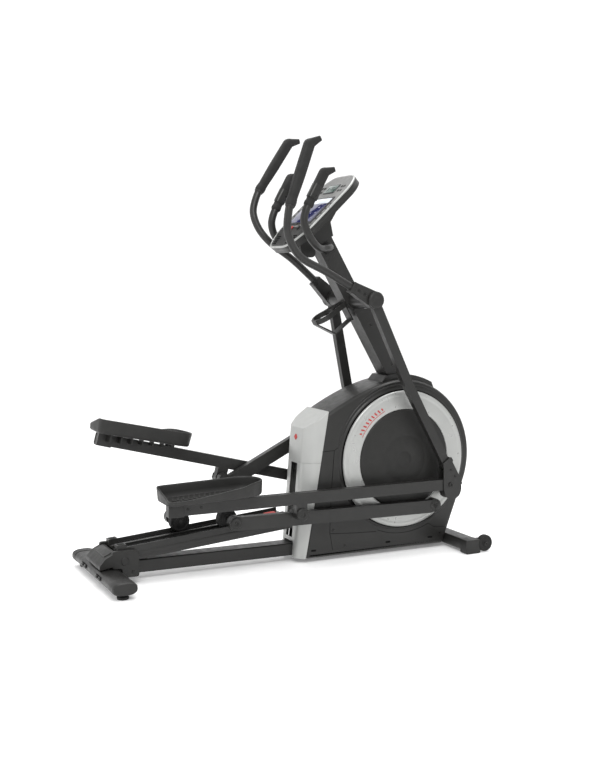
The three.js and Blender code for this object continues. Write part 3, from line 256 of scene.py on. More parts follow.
def rounded_outline(points, radius, steps=5):
    """The outline with each corner rounded."""
    result = []
    corners = [Vector(point) for point in points]
    for index, corner in enumerate(corners):
        before, after = corners[index - 1], corners[(index + 1) % len(corners)]
        start = corner + (before - corner).normalized() * min(
            radius, (before - corner).length * 0.48
        )
        end = corner + (after - corner).normalized() * min(radius, (after - corner).length * 0.48)
        for step in range(steps + 1):
            t = step / steps
            result.append(tuple(start * (1 - t) ** 2 + corner * 2 * t * (1 - t) + end * t * t))
    return result


def stacked(name, outline, levels, place):
    """A closed solid made of one outline, inset level by level. place(u, v, height) is a point."""
    verts, faces = [], []
    count = len(outline)
    for inset, height in levels:
        ring = inset_outline(outline, inset) if inset else outline
        verts += [place(u, v, height) for u, v in ring]
    for level in range(len(levels) - 1):
        for index in range(count):
            after = (index + 1) % count
            low, high = level * count, (level + 1) * count
            faces.append((low + index, low + after, high + after, high + index))
    faces.append(tuple(range(count))[::-1])
    faces.append(tuple(range((len(levels) - 1) * count, len(levels) * count)))
    return mesh_of(name, verts, faces)


def edge_levels(low, high, radius, steps=4, both=False):
    """Insets and heights of a plate with a rounded top edge, or with both edges rounded."""
    sign = 1 if high > low else -1
    arc = [k * pi / 2 / steps for k in range(steps + 1)]
    top = [(radius * (1 - cos(a)), high - sign * radius * (1 - sin(a))) for a in arc]
    foot = [(0.0, low)]
    if both:
        foot = [(radius * (1 - cos(a)), low + sign * radius * (1 - sin(a))) for a in arc[::-1]]
    return foot + top


def plate(u0, u1, v0, v1, radius, steps=5):
    """The outline of a rounded rectangle."""
    corners = [(u0, v0), (u1, v0), (u1, v1), (u0, v1)]
    return rounded_outline(corners, radius, steps)


def on_side(u, v, height):
    return (u, height, v)


def standing(origin, angle, side=1):
    """Places an outline in the X-Z plane, in a turned frame, with its height along Y."""

    def place(u, v, height):
        x, z = side_point(origin, angle, u, v)
        return (x, side * height, z)

    return place


def lying(origin, angle):
    """Places an outline on a plane that slopes along X, with its height off that plane."""

    def place(u, v, height):
        x, z = side_point(origin, angle, u, height)
        return (x, v, z)

    return place


def side_faces(node, side):
    """The Y of a node's inner and outer side faces."""
    low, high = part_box(node)
    return (high.y, low.y) if side < 0 else (low.y, high.y)


def outward(face, side, profile):
    """A lathe profile whose second values are measured outwards from a side face."""
    return [(radius, face + side * rise) for radius, rise in profile]


def between(inner, outer, profile):
    """A lathe profile whose second values are shares of the way between two side faces."""
    return [(radius, inner + (outer - inner) * share) for radius, share in profile]


def lathe(name, profile, centre, segments=48, turn=None):
    """A profile of (radius, y) turned about the Y axis through the centre (x, z)."""
    verts, faces = [], []
    rings = []
    for radius, y in profile:
        if radius < 1e-6:
            rings.append([len(verts)])
            verts.append(Vector((0, y, 0)))
            continue
        rings.append(list(range(len(verts), len(verts) + segments)))
        for k in range(segments):
            angle = 2 * pi * k / segments
            verts.append(Vector((radius * cos(angle), y, radius * sin(angle))))
    for low, high in zip(rings, rings[1:]):
        for k in range(segments):
            after = (k + 1) % segments
            if len(low) == 1 and len(high) == 1:
                continue
            if len(low) == 1:
                faces.append((low[0], high[after], high[k]))
            elif len(high) == 1:
                faces.append((low[k], low[after], high[0]))
            else:
                faces.append((low[k], low[after], high[after], high[k]))
    shift = Vector((centre[0], 0, centre[1]))
    if turn:
        verts = [turn @ v for v in verts]
    mesh = mesh_of(name, [v + shift for v in verts], faces)
    if profile[0] == profile[-1]:
        bm = bmesh.new()
        bm.from_mesh(mesh)
        bmesh.ops.remove_doubles(bm, verts=bm.verts, dist=1e-6)
        bmesh.ops.recalc_face_normals(bm, faces=bm.faces)
        bm.to_mesh(mesh)
        bm.free()
    return mesh


def curve_points(points, per=8):
    """Points along a centripetal Catmull-Rom curve through the given ones."""
    known = [Vector(point) for point in points]
    known = [2 * known[0] - known[1], *known, 2 * known[-1] - known[-2]]
    found = []
    for p0, p1, p2, p3 in zip(known, known[1:], known[2:], known[3:]):
        t0 = 0.0
        t1 = t0 + (p1 - p0).length ** 0.5
        t2 = t1 + (p2 - p1).length ** 0.5
        t3 = t2 + (p3 - p2).length ** 0.5
        for step in range(per):
            t = t1 + (t2 - t1) * step / per
            a1 = p0 * ((t1 - t) / (t1 - t0)) + p1 * ((t - t0) / (t1 - t0))
            a2 = p1 * ((t2 - t) / (t2 - t1)) + p2 * ((t - t1) / (t2 - t1))
            a3 = p2 * ((t3 - t) / (t3 - t2)) + p3 * ((t - t2) / (t3 - t2))
            b1 = a1 * ((t2 - t) / (t2 - t0)) + a2 * ((t - t0) / (t2 - t0))
            b2 = a2 * ((t3 - t) / (t3 - t1)) + a3 * ((t - t1) / (t3 - t1))
            found.append(b1 * ((t2 - t) / (t2 - t1)) + b2 * ((t - t1) / (t2 - t1)))
    found.append(known[-2])
    return found


def sweep(name, path, section):
    """A closed bar along a path. section(place, total) gives the ring at a length along it."""
    tangents = []
    for index, point in enumerate(path):
        before = path[max(index - 1, 0)]
        after = path[min(index + 1, len(path) - 1)]
        tangents.append((after - before).normalized())
    side = Vector((1, 0, 0)) if abs(tangents[0].y) > 0.99 else Vector((0, 1, 0))
    lengths = [0.0]
    for a, b in zip(path, path[1:]):
        lengths.append(lengths[-1] + (b - a).length)
    verts, faces, rings = [], [], []
    for index, (point, tangent) in enumerate(zip(path, tangents)):
        side = (side - tangent * side.dot(tangent)).normalized()
        up = tangent.cross(side)
        ring = section(lengths[index], lengths[-1])
        rings.append(list(range(len(verts), len(verts) + len(ring))))
        verts += [point + side * a + up * b for a, b in ring]
    for low, high in zip(rings, rings[1:]):
        count = len(low)
        for k in range(count):
            after = (k + 1) % count
            faces.append((low[k], low[after], high[after], high[k]))
    faces.append(tuple(rings[0][::-1]))
    faces.append(tuple(rings[-1]))
    return mesh_of(name, verts, faces)


def circle(radius, count=24):
    return [(radius * cos(2 * pi * k / count), radius * sin(2 * pi * k / count)) for k in range(count)]


def soft_square(half_width, half_height, power=3.2, count=28):
    """A ring between an ellipse and a rectangle."""
    ring = []
    for k in range(count):
        angle = 2 * pi * k / count
        c, s = cos(angle), sin(angle)
        reach = (abs(c) ** power + abs(s) ** power) ** (-1 / power)
        ring.append((half_width * reach * c, half_height * reach * s))
    return ring


def head_turn(direction):
    """The rotation that takes +Y to a direction."""
    return Vector((0, 1, 0)).rotation_difference(Vector(direction)).to_matrix()


def bolt_mesh(point, direction, radius, height=None):
    """A round screw head with a hexagonal socket, its flat base at the point."""
    height = height or radius * 0.55
    segments = 24
    rings = [
        (radius, 0.0, False), (radius, height * 0.6, False), (radius * 0.86, height, False),
        (radius * 0.55, height, True), (radius * 0.52, height * 0.25, True),
    ]
    verts, faces = [], []
    for reach, rise, hexagonal in rings:
        for k in range(segments):
            angle = 2 * pi * k / segments
            scale = 1.0
            if hexagonal:
                scale = cos(pi / 6) / cos((angle % (pi / 3)) - pi / 6)
            verts.append(Vector((reach * scale * cos(angle), rise, reach * scale * sin(angle))))
    for level in range(len(rings) - 1):
        for k in range(segments):
            after = (k + 1) % segments
            low, high = level * segments, (level + 1) * segments
            faces.append((low + k, low + after, high + after, high + k))
    faces.append(tuple(range(segments))[::-1])
    faces.append(tuple(range((len(rings) - 1) * segments, len(rings) * segments)))
    turn = head_turn(direction)
    return mesh_of("bolt", [turn @ v + Vector(point) for v in verts], faces)


def bolts(name, body, places, material=BLACK_STEEL):
    """Screw heads of one body, each as (point, direction, radius)."""
    meshes = [bolt_mesh(point, direction, radius) for point, direction, radius in places]
    return piece(name, joined(name, meshes), body, material)


def strip(points, width, y, side, lift=0.0006):
    """A thin line on a side face along points of (x, z), as a closed flat bar."""
    left, right = [], []
    for index, point in enumerate(points):
        before = points[max(index - 1, 0)]
        after = points[min(index + 1, len(points) - 1)]
        along = Vector((after[0] - before[0], after[1] - before[1])).normalized()
        normal = Vector((-along.y, along.x)) * width / 2
        left.append((point[0] + normal.x, point[1] + normal.y))
        right.append((point[0] - normal.x, point[1] - normal.y))
    outline = left + right[::-1]
    verts = [(u, y, v) for u, v in outline] + [(u, y + side * lift, v) for u, v in outline]
    count = len(outline)
    faces = [(k, (k + 1) % count, (k + 1) % count + count, k + count) for k in range(count)]
    half = len(points)
    for k in range(half - 1):
        quad = (k, k + 1, count - k - 2, count - k - 1)
        faces.append(quad[::-1])
        faces.append(tuple(i + count for i in quad))
    return mesh_of("strip", verts, faces)


def arc_points(centre, radius, start, end, steps=24):
    return [
        (
            centre[0] + radius * cos(radians(start + (end - start) * k / steps)),
            centre[1] + radius * sin(radians(start + (end - start) * k / steps)),
        )
        for k in range(steps + 1)
    ]


# ---------------------------------------------------------------- places from the frame


SOURCE_CRANK_X = 0.532
ARM_HINGE = (0.726, 0.076)  # the front hinge, along and above the pedal arm from its pivot
ROLLER_ARM_PIVOT = (0.277, 0.022)  # the pedal arm's pivot, from the roller along its arm
TRACK_SLOPE = 0.09
TRACK_HEIGHT = 0.2033  # of the track's plane above the CAD source's X = 0


def joint_at(name):
    """A joint's place as (x, z)."""
    x, _, z = JOINTS[name]["pos_m"]
    return Vector((x, z))


CRANK = joint_at("crank_spin")
SHIFT = CRANK.x - SOURCE_CRANK_X  # the CAD source's X = 0 lies here
SWING = joint_at("right_swing")


def leg_frame(name):
    """The swing leg's frame: its pivot, and the turn that takes its length to the hinge."""
    hinge = joint_at(name + "_pedal_hinge")
    return SWING, atan2(hinge.x - SWING.x, SWING.y - hinge.y)


def arm_frame(name):
    """The pedal arm's frame, at the pivot of its roller arm."""
    pivot, hinge = joint_at(name + "_roller_arm_hinge"), joint_at(name + "_pedal_hinge")
    return pivot, atan2(hinge.y - pivot.y, hinge.x - pivot.x) - atan2(ARM_HINGE[1], ARM_HINGE[0])


def roller_frame(name):
    """The roller arm's frame, at its roller."""
    wheel, pivot = joint_at(name + "_roller_spin"), joint_at(name + "_roller_arm_hinge")
    rise = atan2(ROLLER_ARM_PIVOT[1], ROLLER_ARM_PIVOT[0])
    return wheel, atan2(pivot.y - wheel.y, pivot.x - wheel.x) - rise


# ---------------------------------------------------------------- base

# Nodes that keep their CAD shape: material, edge width and segments.
PLAIN_NODES = {
    "base_rail": (POWDER, 0.006, 4),
    "frame_upright": (POWDER, 0.003),
    "flywheel_bracket": (POWDER, 0.001),
    "lift_motor": (PLASTIC, 0.004),
    "power_inlet": (PLASTIC, 0.001),
    "crank_axle": (STEEL, 0.001),
    "lift_screw": (STEEL, 0.0008),
    "flywheel": (STEEL, 0.001),
    "crank_pulley": (PLASTIC, 0.0015),
    "drive_belt": (RUBBER, 0.0006),
    "swing_axle": (STEEL, 0.001),
}
for node, finish in PLAIN_NODES.items():
    refined(node, *finish)


def build_rear_stabiliser():
    """An oval bar with end caps, two bolt recesses drawn as dark plates of painted shade on its rear face, and
    its two feet.
    """
    low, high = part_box("rear_stabiliser")
    centre_x, centre_z = (low.x + high.x) / 2, (low.z + high.z) / 2
    half_x, half_z = (high.x - low.x) / 2, (high.z - low.z) / 2
    path = [
        Vector((centre_x, low.y + (high.y - low.y) * k / 48, centre_z)) for k in range(49)
    ]

    def ring(place, total):
        across = abs(place / total - 0.5) * 2
        cap = min(1.0, (1 - across) * total / 2 / 0.012)
        close = (1 - (1 - cap) ** 2) ** 0.5
        shrink = 0.90 + 0.10 * close
        return soft_square(half_x * shrink, half_z * shrink, 2.6, 36)

    def cap_ring(place, total):
        grow = 0.0012 - 0.004 * max(0, place / total - 0.85) / 0.15
        return soft_square(half_x + grow, half_z + grow, 2.6, 36)

    mesh = sweep("look_rear_stabiliser", path, ring)
    piece("look_rear_stabiliser", mesh, "base", POWDER, ["rear_stabiliser"], 50)
    for name, side in SIDES.items():
        start = Vector((centre_x, side * (high.y - 0.052), centre_z))
        end = Vector((centre_x, side * (high.y + 0.0005), centre_z))
        cap = sweep("cap", [start.lerp(end, k / 10) for k in range(11)], cap_ring)
        piece(f"stabiliser_cap_{name}", cap, "base", PLASTIC)
    recess = []

    def on_rear(u, v, height):
        return (low.x + height, u, centre_z + 0.004 + v)

    for y in (-0.105, 0.105):
        corners = [(y - 0.046, -0.007), (y + 0.046, -0.007), (y + 0.036, 0.008), (y - 0.036, 0.008)]
        outline = rounded_outline(corners, 0.007)
        recess.append(stacked("recess", outline, [(0, 0.004), (0, 0.0004), (0.004, -0.0006)], on_rear))
    # The recesses are near-black plates of painted shade, just proud of the rear face.
    piece("stabiliser_recess_shade", joined("recesses", recess), "base", SEAM_AND_SHADE)
    bolts("stabiliser_bolts", "base", [
        (on_rear(y, 0, -0.0004), (-1, 0, 0), 0.0085) for y in (-0.125, -0.085, 0.085, 0.125)
    ])
    for name, side in SIDES.items():
        foot_low, foot_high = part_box(f"levelling_foot_{name}")
        radius = (foot_high.x - foot_low.x) / 2
        profile = [(0, 0), (radius * 0.92, 0), (radius, 0.003), (radius, 0.008), (radius * 0.9, 0.011),
                   (radius * 0.62, 0.0135), (radius * 0.40, 0.016), (0.0098, 0.0162), (0.0098, 0.0195),
                   (0.006, 0.0195), (0.006, 0.050), (0, 0.051)]
        mesh = lathe("foot", profile, (0, 0), 36, Matrix.Rotation(pi / 2, 3, "X"))
        mesh.transform(Matrix.Translation(
            ((foot_low.x + foot_high.x) / 2, (foot_low.y + foot_high.y) / 2, 0)
        ))
        piece(f"look_levelling_foot_{name}", mesh, f"{name}_foot", RUBBER,
              [f"levelling_foot_{name}"])


build_rear_stabiliser()


def build_front_stabiliser():
    refined("front_stabiliser", POWDER, 0.004, 4)
    for name, side in SIDES.items():
        refined(f"front_cap_{name}", PLASTIC, 0.003, 3)
        low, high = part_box(f"transport_wheel_{name}")
        radius = (high.z - low.z) / 2
        centre = ((low.x + high.x) / 2, (low.z + high.z) / 2)
        inner, outer = side_faces(f"transport_wheel_{name}", side)
        profile = [(0.0066, 0), (radius * 0.80, 0), (radius * 0.96, 0.06), (radius, 0.2), (radius, 0.8),
                   (radius * 0.96, 0.94), (radius * 0.80, 1), (radius * 0.74, 0.90), (radius * 0.40, 0.86),
                   (radius * 0.34, 1), (0.0066, 1), (0.0066, 0)]
        mesh = lathe("wheel", between(inner, outer, profile), centre, 56)
        piece(f"look_transport_wheel_{name}", mesh, f"{name}_transport_wheel", RUBBER,
              [f"transport_wheel_{name}"])
        bolts(f"wheel_bolt_{name}", "base", [
            ((centre[0], outer + side * 0.0006, centre[1]), (0, side, 0), 0.0085)
        ])


build_front_stabiliser()


def build_pivot_cover():
    refined("rear_pivot_cover", PLASTIC, 0.007, 5)
    _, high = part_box("rear_pivot_cover")
    pivot = joint_at("ramp_tilt")
    places = []
    cap = [(0, 0.0035), (0.014, 0.0035), (0.0165, 0.001), (0.0165, -0.002), (0, -0.002)]
    for name, side in SIDES.items():
        y = side * high.y
        piece(f"pivot_cap_{name}", lathe("cap", outward(y, side, cap), pivot, 36), "base", PLASTIC)
        places.append(((pivot.x + 0.034, y, pivot.y - 0.045), (0, side, 0), 0.006))
    bolts("pivot_cover_bolts", "base", places)
    # A plain pad on the sloping lid.
    angle = atan2(0.018, 0.038)
    outline = plate(-0.019, 0.019, -0.072, 0.072, 0.006)
    place = lying((pivot.x - 0.060, 0.1250), angle)
    mesh = stacked("lid_pad", outline, edge_levels(-0.004, 0.0035, 0.002), place)
    piece("lid_pad", mesh, "base", COVER)


build_pivot_cover()

# ---------------------------------------------------------------- ramp


def build_ramp():
    refined("ramp", POWDER, 0.0022, 3)
    slope = atan2(TRACK_SLOPE, 1)
    pivot = joint_at("ramp_tilt")
    origin = (pivot.x, TRACK_HEIGHT + TRACK_SLOPE * (pivot.x - SHIFT))
    place = lying(origin, slope)
    for name, side in SIDES.items():
        outline = plate(0.018, 0.735, 0.012, 0.070, 0.004)
        outline = [(u, v * side) for u, v in outline][::side]
        mesh = stacked("runner", outline, [(0, -0.001), (0, 0.0001), (0.0006, 0.00022)], place)
        piece(f"track_strip_{name}", mesh, "ramp", RUNNER)
        outline = plate(-0.018, 0.010, 0.044, 0.072, 0.005)
        outline = [(u, v * side) for u, v in outline][::side]
        mesh = stacked("stop", outline, edge_levels(0.020, 0.0262, 0.003), place)
        piece(f"stop_pad_{name}", mesh, "ramp", RUBBER)
        outline = plate(0.06, 0.72, -0.034, -0.012, 0.008)
        levels = [(0, 0.079), (0, 0.0806), (0.002, 0.0816)]
        mesh = stacked("rib", outline, levels, standing(origin, slope, side))
        piece(f"ramp_bead_{name}", mesh, "ramp", POWDER)
    outline = plate(0.655, 0.705, -0.024, 0.024, 0.008)
    mesh = stacked("patch", outline, edge_levels(0.0102, 0.0142, 0.0016), place)
    piece("ramp_patch", mesh, "ramp", RED)


build_ramp()

# ---------------------------------------------------------------- drive cover


COVER_RADIUS = 0.349
COVER_BASE = 0.018
COVER_FACE = 0.1048
HEEL_ANGLE, CROWN_ANGLE = -27, 100


def rear_edge(z):
    """The X of the cover's leaning rear edge at a height."""
    return 0.057 + 0.141 * z + SHIFT


def shroud_outline():
    """The side outline of the drive cover, anticlockwise in X-Z."""
    rim = arc_points(CRANK, COVER_RADIUS, HEEL_ANGLE, CROWN_ANGLE, 64)
    foot = [(rear_edge(0.30), 0.30), (rear_edge(COVER_BASE), COVER_BASE), (0.750 + SHIFT, COVER_BASE)]
    points = rounded_outline([*foot, rim[0], (0.5 + SHIFT, 0.5)], 0.012, 4)[5:15]
    points += rim
    top = Vector(rim[-1])
    control = Vector((0.330 + SHIFT, 0.738))
    end = Vector((rear_edge(0.640) + 0.018, 0.640))
    for k in range(1, 20):
        points.append(tuple(top.lerp(control, k / 20).lerp(control.lerp(end, k / 20), k / 20)))
    shoulder = [points[-1], tuple(end), (rear_edge(0.60) + 0.008, 0.60)]
    points += rounded_outline(shoulder, 0.008, 4)[5:10]
    heights = [COVER_BASE + 0.56 * (1 - k / 12) for k in range(11)]
    points += [(rear_edge(z), z) for z in heights]
    return points


def shifted(points):
    """Points given in the CAD source's X, moved to the frame's."""
    return [(x + SHIFT, z) for x, z in points]


def build_shroud():
    outline = shroud_outline()
    for name, side in SIDES.items():
        face = side * COVER_FACE
        levels = [(0, side * 0.0002), *edge_levels(side * 0.020, face, 0.016, 6)]
        mesh = stacked("shroud", outline, levels, on_side)
        node = f"shroud_{name}"
        made = piece("look_" + node, mesh, "base", COVER, [node], 40)
        if side > 0:
            cut_opening(made, *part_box("power_inlet"))
        routes = [
            shifted([(0.171, 0.119), (0.300, 0.110), (0.399, 0.106)]),
            arc_points(CRANK, 0.334, -112, -66, 20),
            shifted([(0.668, 0.118), (0.700, 0.098), (0.752, 0.094)]),
            shifted([(0.171, 0.119), (0.178, 0.30), (0.192, 0.480)]),
            shifted([(0.133, 0.478), (0.192, 0.480), (0.212, 0.492)]),
        ]
        lines = [strip(shifted([(0.185, 0.045), (0.176, 0.10), (0.171, 0.12)]), 0.0016, face, side)]
        lines += [strip(route, 0.0018, face, side) for route in routes]
        piece(f"cover_seams_{name}", joined("seams", lines), "base", SEAM_AND_SHADE)
        # The slots are near-black plates of painted shade on the cover's face.
        slots = []
        for x in (0.461, 0.679):
            outline_slot = plate(x - 0.012 + SHIFT, x + 0.012 + SHIFT, 0.049, 0.057, 0.004)
            depth = [(0, face - side * 0.002), (0, face + side * 0.0008)]
            slots.append(stacked("slot", outline_slot, depth, on_side))
        piece(f"cover_slot_shade_{name}", joined("slots", slots), "base", SEAM_AND_SHADE)
        bolts(f"cover_bolts_{name}", "base", [
            ((x + SHIFT, face, z), (0, side, 0), 0.0045)
            for x, z in ((0.188, 0.134), (0.400, 0.136), (0.245, 0.060), (0.730, 0.070))
        ])
        build_collar(name, side, face)


def cut_opening(made, low, high):
    """Cuts a box-shaped opening through a piece."""
    corners = [(low.x, low.z), (high.x, low.z), (high.x, high.z), (low.x, high.z)]
    mesh = stacked("cutter", corners, [(0, low.y - 0.002), (0, high.y + 0.02)], on_side)
    tool = bpy.data.objects.new("cutter", mesh)
    bpy.context.scene.collection.objects.link(tool)
    cut = made.modifiers.new("cut", "BOOLEAN")
    cut.operation = "DIFFERENCE"
    cut.object = tool
    cut.solver = "EXACT"
    evaluated = made.evaluated_get(bpy.context.evaluated_depsgraph_get())
    mesh = bpy.data.meshes.new_from_object(evaluated)
    made.modifiers.clear()
    made.data = mesh
    bpy.data.objects.remove(tool)


def ridge(start, end, radius, width, height, face, side, steps=56):
    """A smooth crescent-shaped rise on the cover's face, widest at its middle."""
    verts, faces = [], []
    profile = [k / 8 for k in range(9)]
    for step in range(steps + 1):
        share = step / steps
        angle = radians(start + (end - start) * share)
        swell = max(sin(pi * share), 0.02) ** 0.6
        for t in profile:
            reach = radius + width * swell * (t - 0.5)
            rise = -0.0006 + height * swell * sin(pi * t) ** 0.8
            verts.append((CRANK.x + reach * cos(angle), face + side * rise, CRANK.y + reach * sin(angle)))
    count = len(profile)
    for step in range(steps):
        for k in range(count):
            after = (k + 1) % count
            low, high = step * count, (step + 1) * count
            faces.append((low + k, low + after, high + after, high + k))
    faces.append(tuple(range(count))[::-1])
    faces.append(tuple(range(steps * count, (steps + 1) * count)))
    return mesh_of("ridge", verts, faces)


def build_collar(name, side, face):
    """The raised lip round the disc, the two crescents above it and a ring of painted shade in the gap round
    the disc ring.
    """
    lip = [(0.3065, -0.002), (0.3065, 0.0035), (0.309, 0.0052), (0.3125, 0.0040), (0.318, 0.0006),
           (0.320, -0.002), (0.3065, -0.002)]
    piece(f"disc_lip_{name}", lathe("lip", outward(face, side, lip), CRANK, 96), "base", COVER)
    ridges = [
        ridge(52, 172, 0.3285, 0.012, 0.0055, face, side),
        ridge(62, 136, 0.3405, 0.008, 0.0040, face, side),
    ]
    piece(f"cover_ridges_{name}", joined("ridges", ridges), "base", COVER, smooth=60)
    # A near-black ring of painted shade in the gap between the disc ring and the cover.
    rim = [(0.2985, -0.003), (0.2985, 0.0012), (0.3055, 0.0012), (0.3055, -0.003), (0.2985, -0.003)]
    piece(f"disc_shadow_{name}", lathe("rim", outward(face, side, rim), CRANK, 96), "base", SEAM_AND_SHADE)


build_shroud()


def build_shields():
    refined("rear_shield_upper", SHIELD, 0.007, 5, 20)
    refined("rear_shield_lower", SHIELD, 0.004, 4, 20)
    refined("top_cover", COVER, 0.008, 5)
    low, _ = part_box("rear_shield_upper")
    centre = 0.535

    def on_shield(u, v, height):
        lean = 0.08 * (centre + v - low.z)
        return (low.x - 0.0006 + lean - height, u, centre + v)

    outline = rounded_outline([(0, -0.015), (0.016, 0), (0, 0.015), (-0.016, 0)], 0.006)
    levels = edge_levels(-0.001, 0.0016, 0.0008)
    piece("badge", stacked("badge", outline, levels, on_shield), "base", RED)
    low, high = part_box("rear_shield_lower")
    # Near-black plates of painted shade for the slots on both sides of the lower shield.
    outline = plate(low.x + 0.063, low.x + 0.087, 0.049, 0.057, 0.004)
    for name, side in SIDES.items():
        depth = [(0, side * (high.y - 0.002)), (0, side * (high.y + 0.0005))]
        piece(f"shield_slot_shade_{name}", stacked("slot", outline, depth, on_side), "base", SEAM_AND_SHADE)


build_shields()

# ---------------------------------------------------------------- crank and disc


DASH_RADIUS = 0.252


def ring_dash(index, face, side):
    """One slanted dash of the row on the ring."""
    angle = radians(117 + 4.2 * index)
    half = 0.0085 if 0 < index < 8 else 0.006
    centre = (CRANK.x + DASH_RADIUS * cos(angle), CRANK.y + DASH_RADIUS * sin(angle))
    slant = angle + 0.35
    ends = [side_point(centre, slant, -half, 0), side_point(centre, slant, half, 0)]
    return strip(ends, 0.0065, face, side, 0.0004)


def build_disc(name, side):
    """The turning disc over the crank, the silver ring round it and the red dashes on the ring."""
    inner, outer = side_faces(f"disc_ring_{name}", side)
    low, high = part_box(f"disc_ring_{name}")
    radius = (high.x - low.x) / 2
    hole = 0.221
    depth = side * (inner - outer)
    profile = [(hole, depth), (hole, -0.0030), (hole + 0.003, -0.0006), (hole + 0.006, -0.0002),
               (radius - 0.030, 0), (radius - 0.026, -0.0008), (radius - 0.021, -0.0005),
               (radius - 0.018, 0.0006), (radius - 0.010, 0.0006), (radius - 0.004, -0.0012),
               (radius, -0.0045), (radius, depth), (hole, depth)]
    mesh = lathe("ring", outward(outer, side, profile), CRANK, 128)
    piece(f"look_disc_ring_{name}", mesh, "crank", SILVER, [f"disc_ring_{name}"], 60)
    back, front = side_faces(f"crank_disc_{name}", side)
    low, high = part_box(f"crank_disc_{name}")
    edge = (high.x - low.x) / 2
    depth = side * (back - front)
    profile = [(0, -0.0006), (0.030, -0.0006), (0.034, -0.0020), (0.038, -0.0008), (0.100, 0),
               (0.104, -0.0007), (0.108, 0), (edge - 0.024, -0.0004), (edge - 0.020, -0.0014),
               (edge - 0.010, -0.0022), (edge - 0.003, -0.0040), (edge, -0.0065), (edge, depth), (0, depth)]
    mesh = lathe("disc", outward(front, side, profile), CRANK, 128)
    piece(f"look_crank_disc_{name}", mesh, "crank", DISC, [f"crank_disc_{name}"], 60)
    dashes = [ring_dash(k, outer, side) for k in range(9)]
    dashes.append(strip(arc_points(CRANK, 0.2385, 115, 153, 24), 0.0022, outer, side, 0.0004))
    piece(f"ring_dashes_{name}", joined("dashes", dashes), "crank", RED)
    refined(f"crank_arm_{name}", BLACK_STEEL, 0.0015)


for side_name, side_sign in SIDES.items():
    build_disc(side_name, side_sign)

# ---------------------------------------------------------------- arms


def outer_face(node, side):
    """The Y of a node's outermost side face."""
    low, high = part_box(node)
    return side * max(abs(low.y), abs(high.y))


def build_roller_arm(name, side):
    refined(f"roller_arm_{name}", POWDER, 0.003, 4)
    wheel, angle = roller_frame(name)
    face = outer_face(f"roller_arm_{name}", side)
    body = f"{name}_roller_arm"
    cap = [(0, 0), (0.0080, 0), (0.0085, 0.0030), (0.0150, 0.0045), (0.0225, 0.0036), (0.0245, 0.0010),
           (0.0245, -0.006), (0, -0.006)]
    piece(f"roller_cap_{name}", lathe("cap", outward(face, side, cap), wheel, 40), body, PLASTIC)
    bolts(f"roller_bolt_{name}", body, [((wheel.x, face - side * 0.001, wheel.y), (0, side, 0), 0.0078)])
    front = side_point(wheel, angle, 0.955, 0)
    hub = [(0, -0.0005), (0.009, -0.0005), (0.010, 0.0022), (0.0225, 0.0022), (0.0255, 0.0008),
           (0.0262, -0.003), (0, -0.003)]
    piece(f"crank_hub_{name}", lathe("hub", outward(face, side, hub), front, 40), body, BLACK_STEEL)
    places = [((front[0], face - side * 0.0004, front[1]), (0, side, 0), 0.0075)]
    for k in range(3):
        spot = side_point(front, 2 * pi * k / 3 + 0.5, 0.0178, 0)
        places.append(((spot[0], face + side * 0.0020, spot[1]), (0, side, 0), 0.0028))
    bolts(f"crank_hub_bolts_{name}", body, places)
    build_roller(name, side, wheel)


def build_roller(name, side, wheel):
    inner, outer = side_faces(f"roller_{name}", side)
    radius = 0.0425
    half = [(0.018, 0), (0.020, 0.08), (0.031, 0.10), (0.034, 0), (radius - 0.003, 0), (radius, 0.12),
            (radius, 0.44), (radius - 0.0012, 0.47)]
    mirrored = [(reach, 1 - share) for reach, share in half[::-1]]
    profile = [(0.0084, 0), *half, *mirrored, (0.0084, 1), (0.0084, 0)]
    mesh = lathe("roller", between(inner, outer, profile), wheel, 64)
    piece(f"look_roller_{name}", mesh, f"{name}_roller", RUBBER, [f"roller_{name}"], 50)


def build_pedal_arm(name, side):
    refined(f"pedal_arm_{name}", POWDER, 0.004, 4)
    pivot, angle = arm_frame(name)
    body = f"{name}_pedal_arm"
    face = side * 0.205
    inner = 0.1332 - 0.205
    knob = [(0, 0.0085), (0.0085, 0.0085), (0.0095, 0.0110), (0.0175, 0.0116), (0.0240, 0.0098),
            (0.0268, 0.0070), (0.0272, 0.0012), (0.009, 0.0012), (0.009, inner), (0, inner)]
    mesh = lathe("knob", outward(face, side, knob), pivot, 56)
    piece(f"look_pivot_pin_{name}", mesh, body, PLASTIC, [f"pivot_pin_{name}"])
    flute = [(0, 0.0098), (0.0016, 0.0094), (0.0024, 0.0080), (0.0024, 0.0022), (0, 0.0022)]
    flutes = []
    for k in range(10):
        spot = side_point(pivot, 2 * pi * k / 10, 0.0262, 0)
        flutes.append(lathe("flute", outward(face, side, flute), spot, 12))
    piece(f"knob_flutes_{name}", joined("flutes", flutes), body, PLASTIC)
    on_arm = standing(pivot, angle, side)
    bolts(f"arm_bolts_{name}", body, [
        (on_arm(u, w, 0.205), (0, side, 0), radius)
        for u, w, radius in ((-0.500, 0.062, 0.006), (-0.445, 0.0655, 0.005))
    ])
    seat = plate(-0.583, -0.518, 0.034, 0.0855, 0.009)
    mesh = stacked("seat", seat, edge_levels(0.203, 0.2105, 0.003), on_arm)
    piece(f"pedal_block_{name}", mesh, body, PLASTIC)
    build_pedal(name, side, pivot, angle)


def ease(start, end, value):
    """0 before the start and 1 after the end, with a smooth rise between them."""
    share = min(1.0, max(0.0, (value - start) / (end - start)))
    return share * share * (3 - 2 * share)


def bezier(p0, p1, p2, p3, steps):
    """Points of a cubic curve in the plane."""
    found = []
    for k in range(steps + 1):
        t = k / steps
        s = 1 - t
        found.append(tuple(
            p0[i] * s ** 3 + 3 * p1[i] * s * s * t + 3 * p2[i] * s * t * t + p3[i] * t ** 3
            for i in range(2)
        ))
    return found


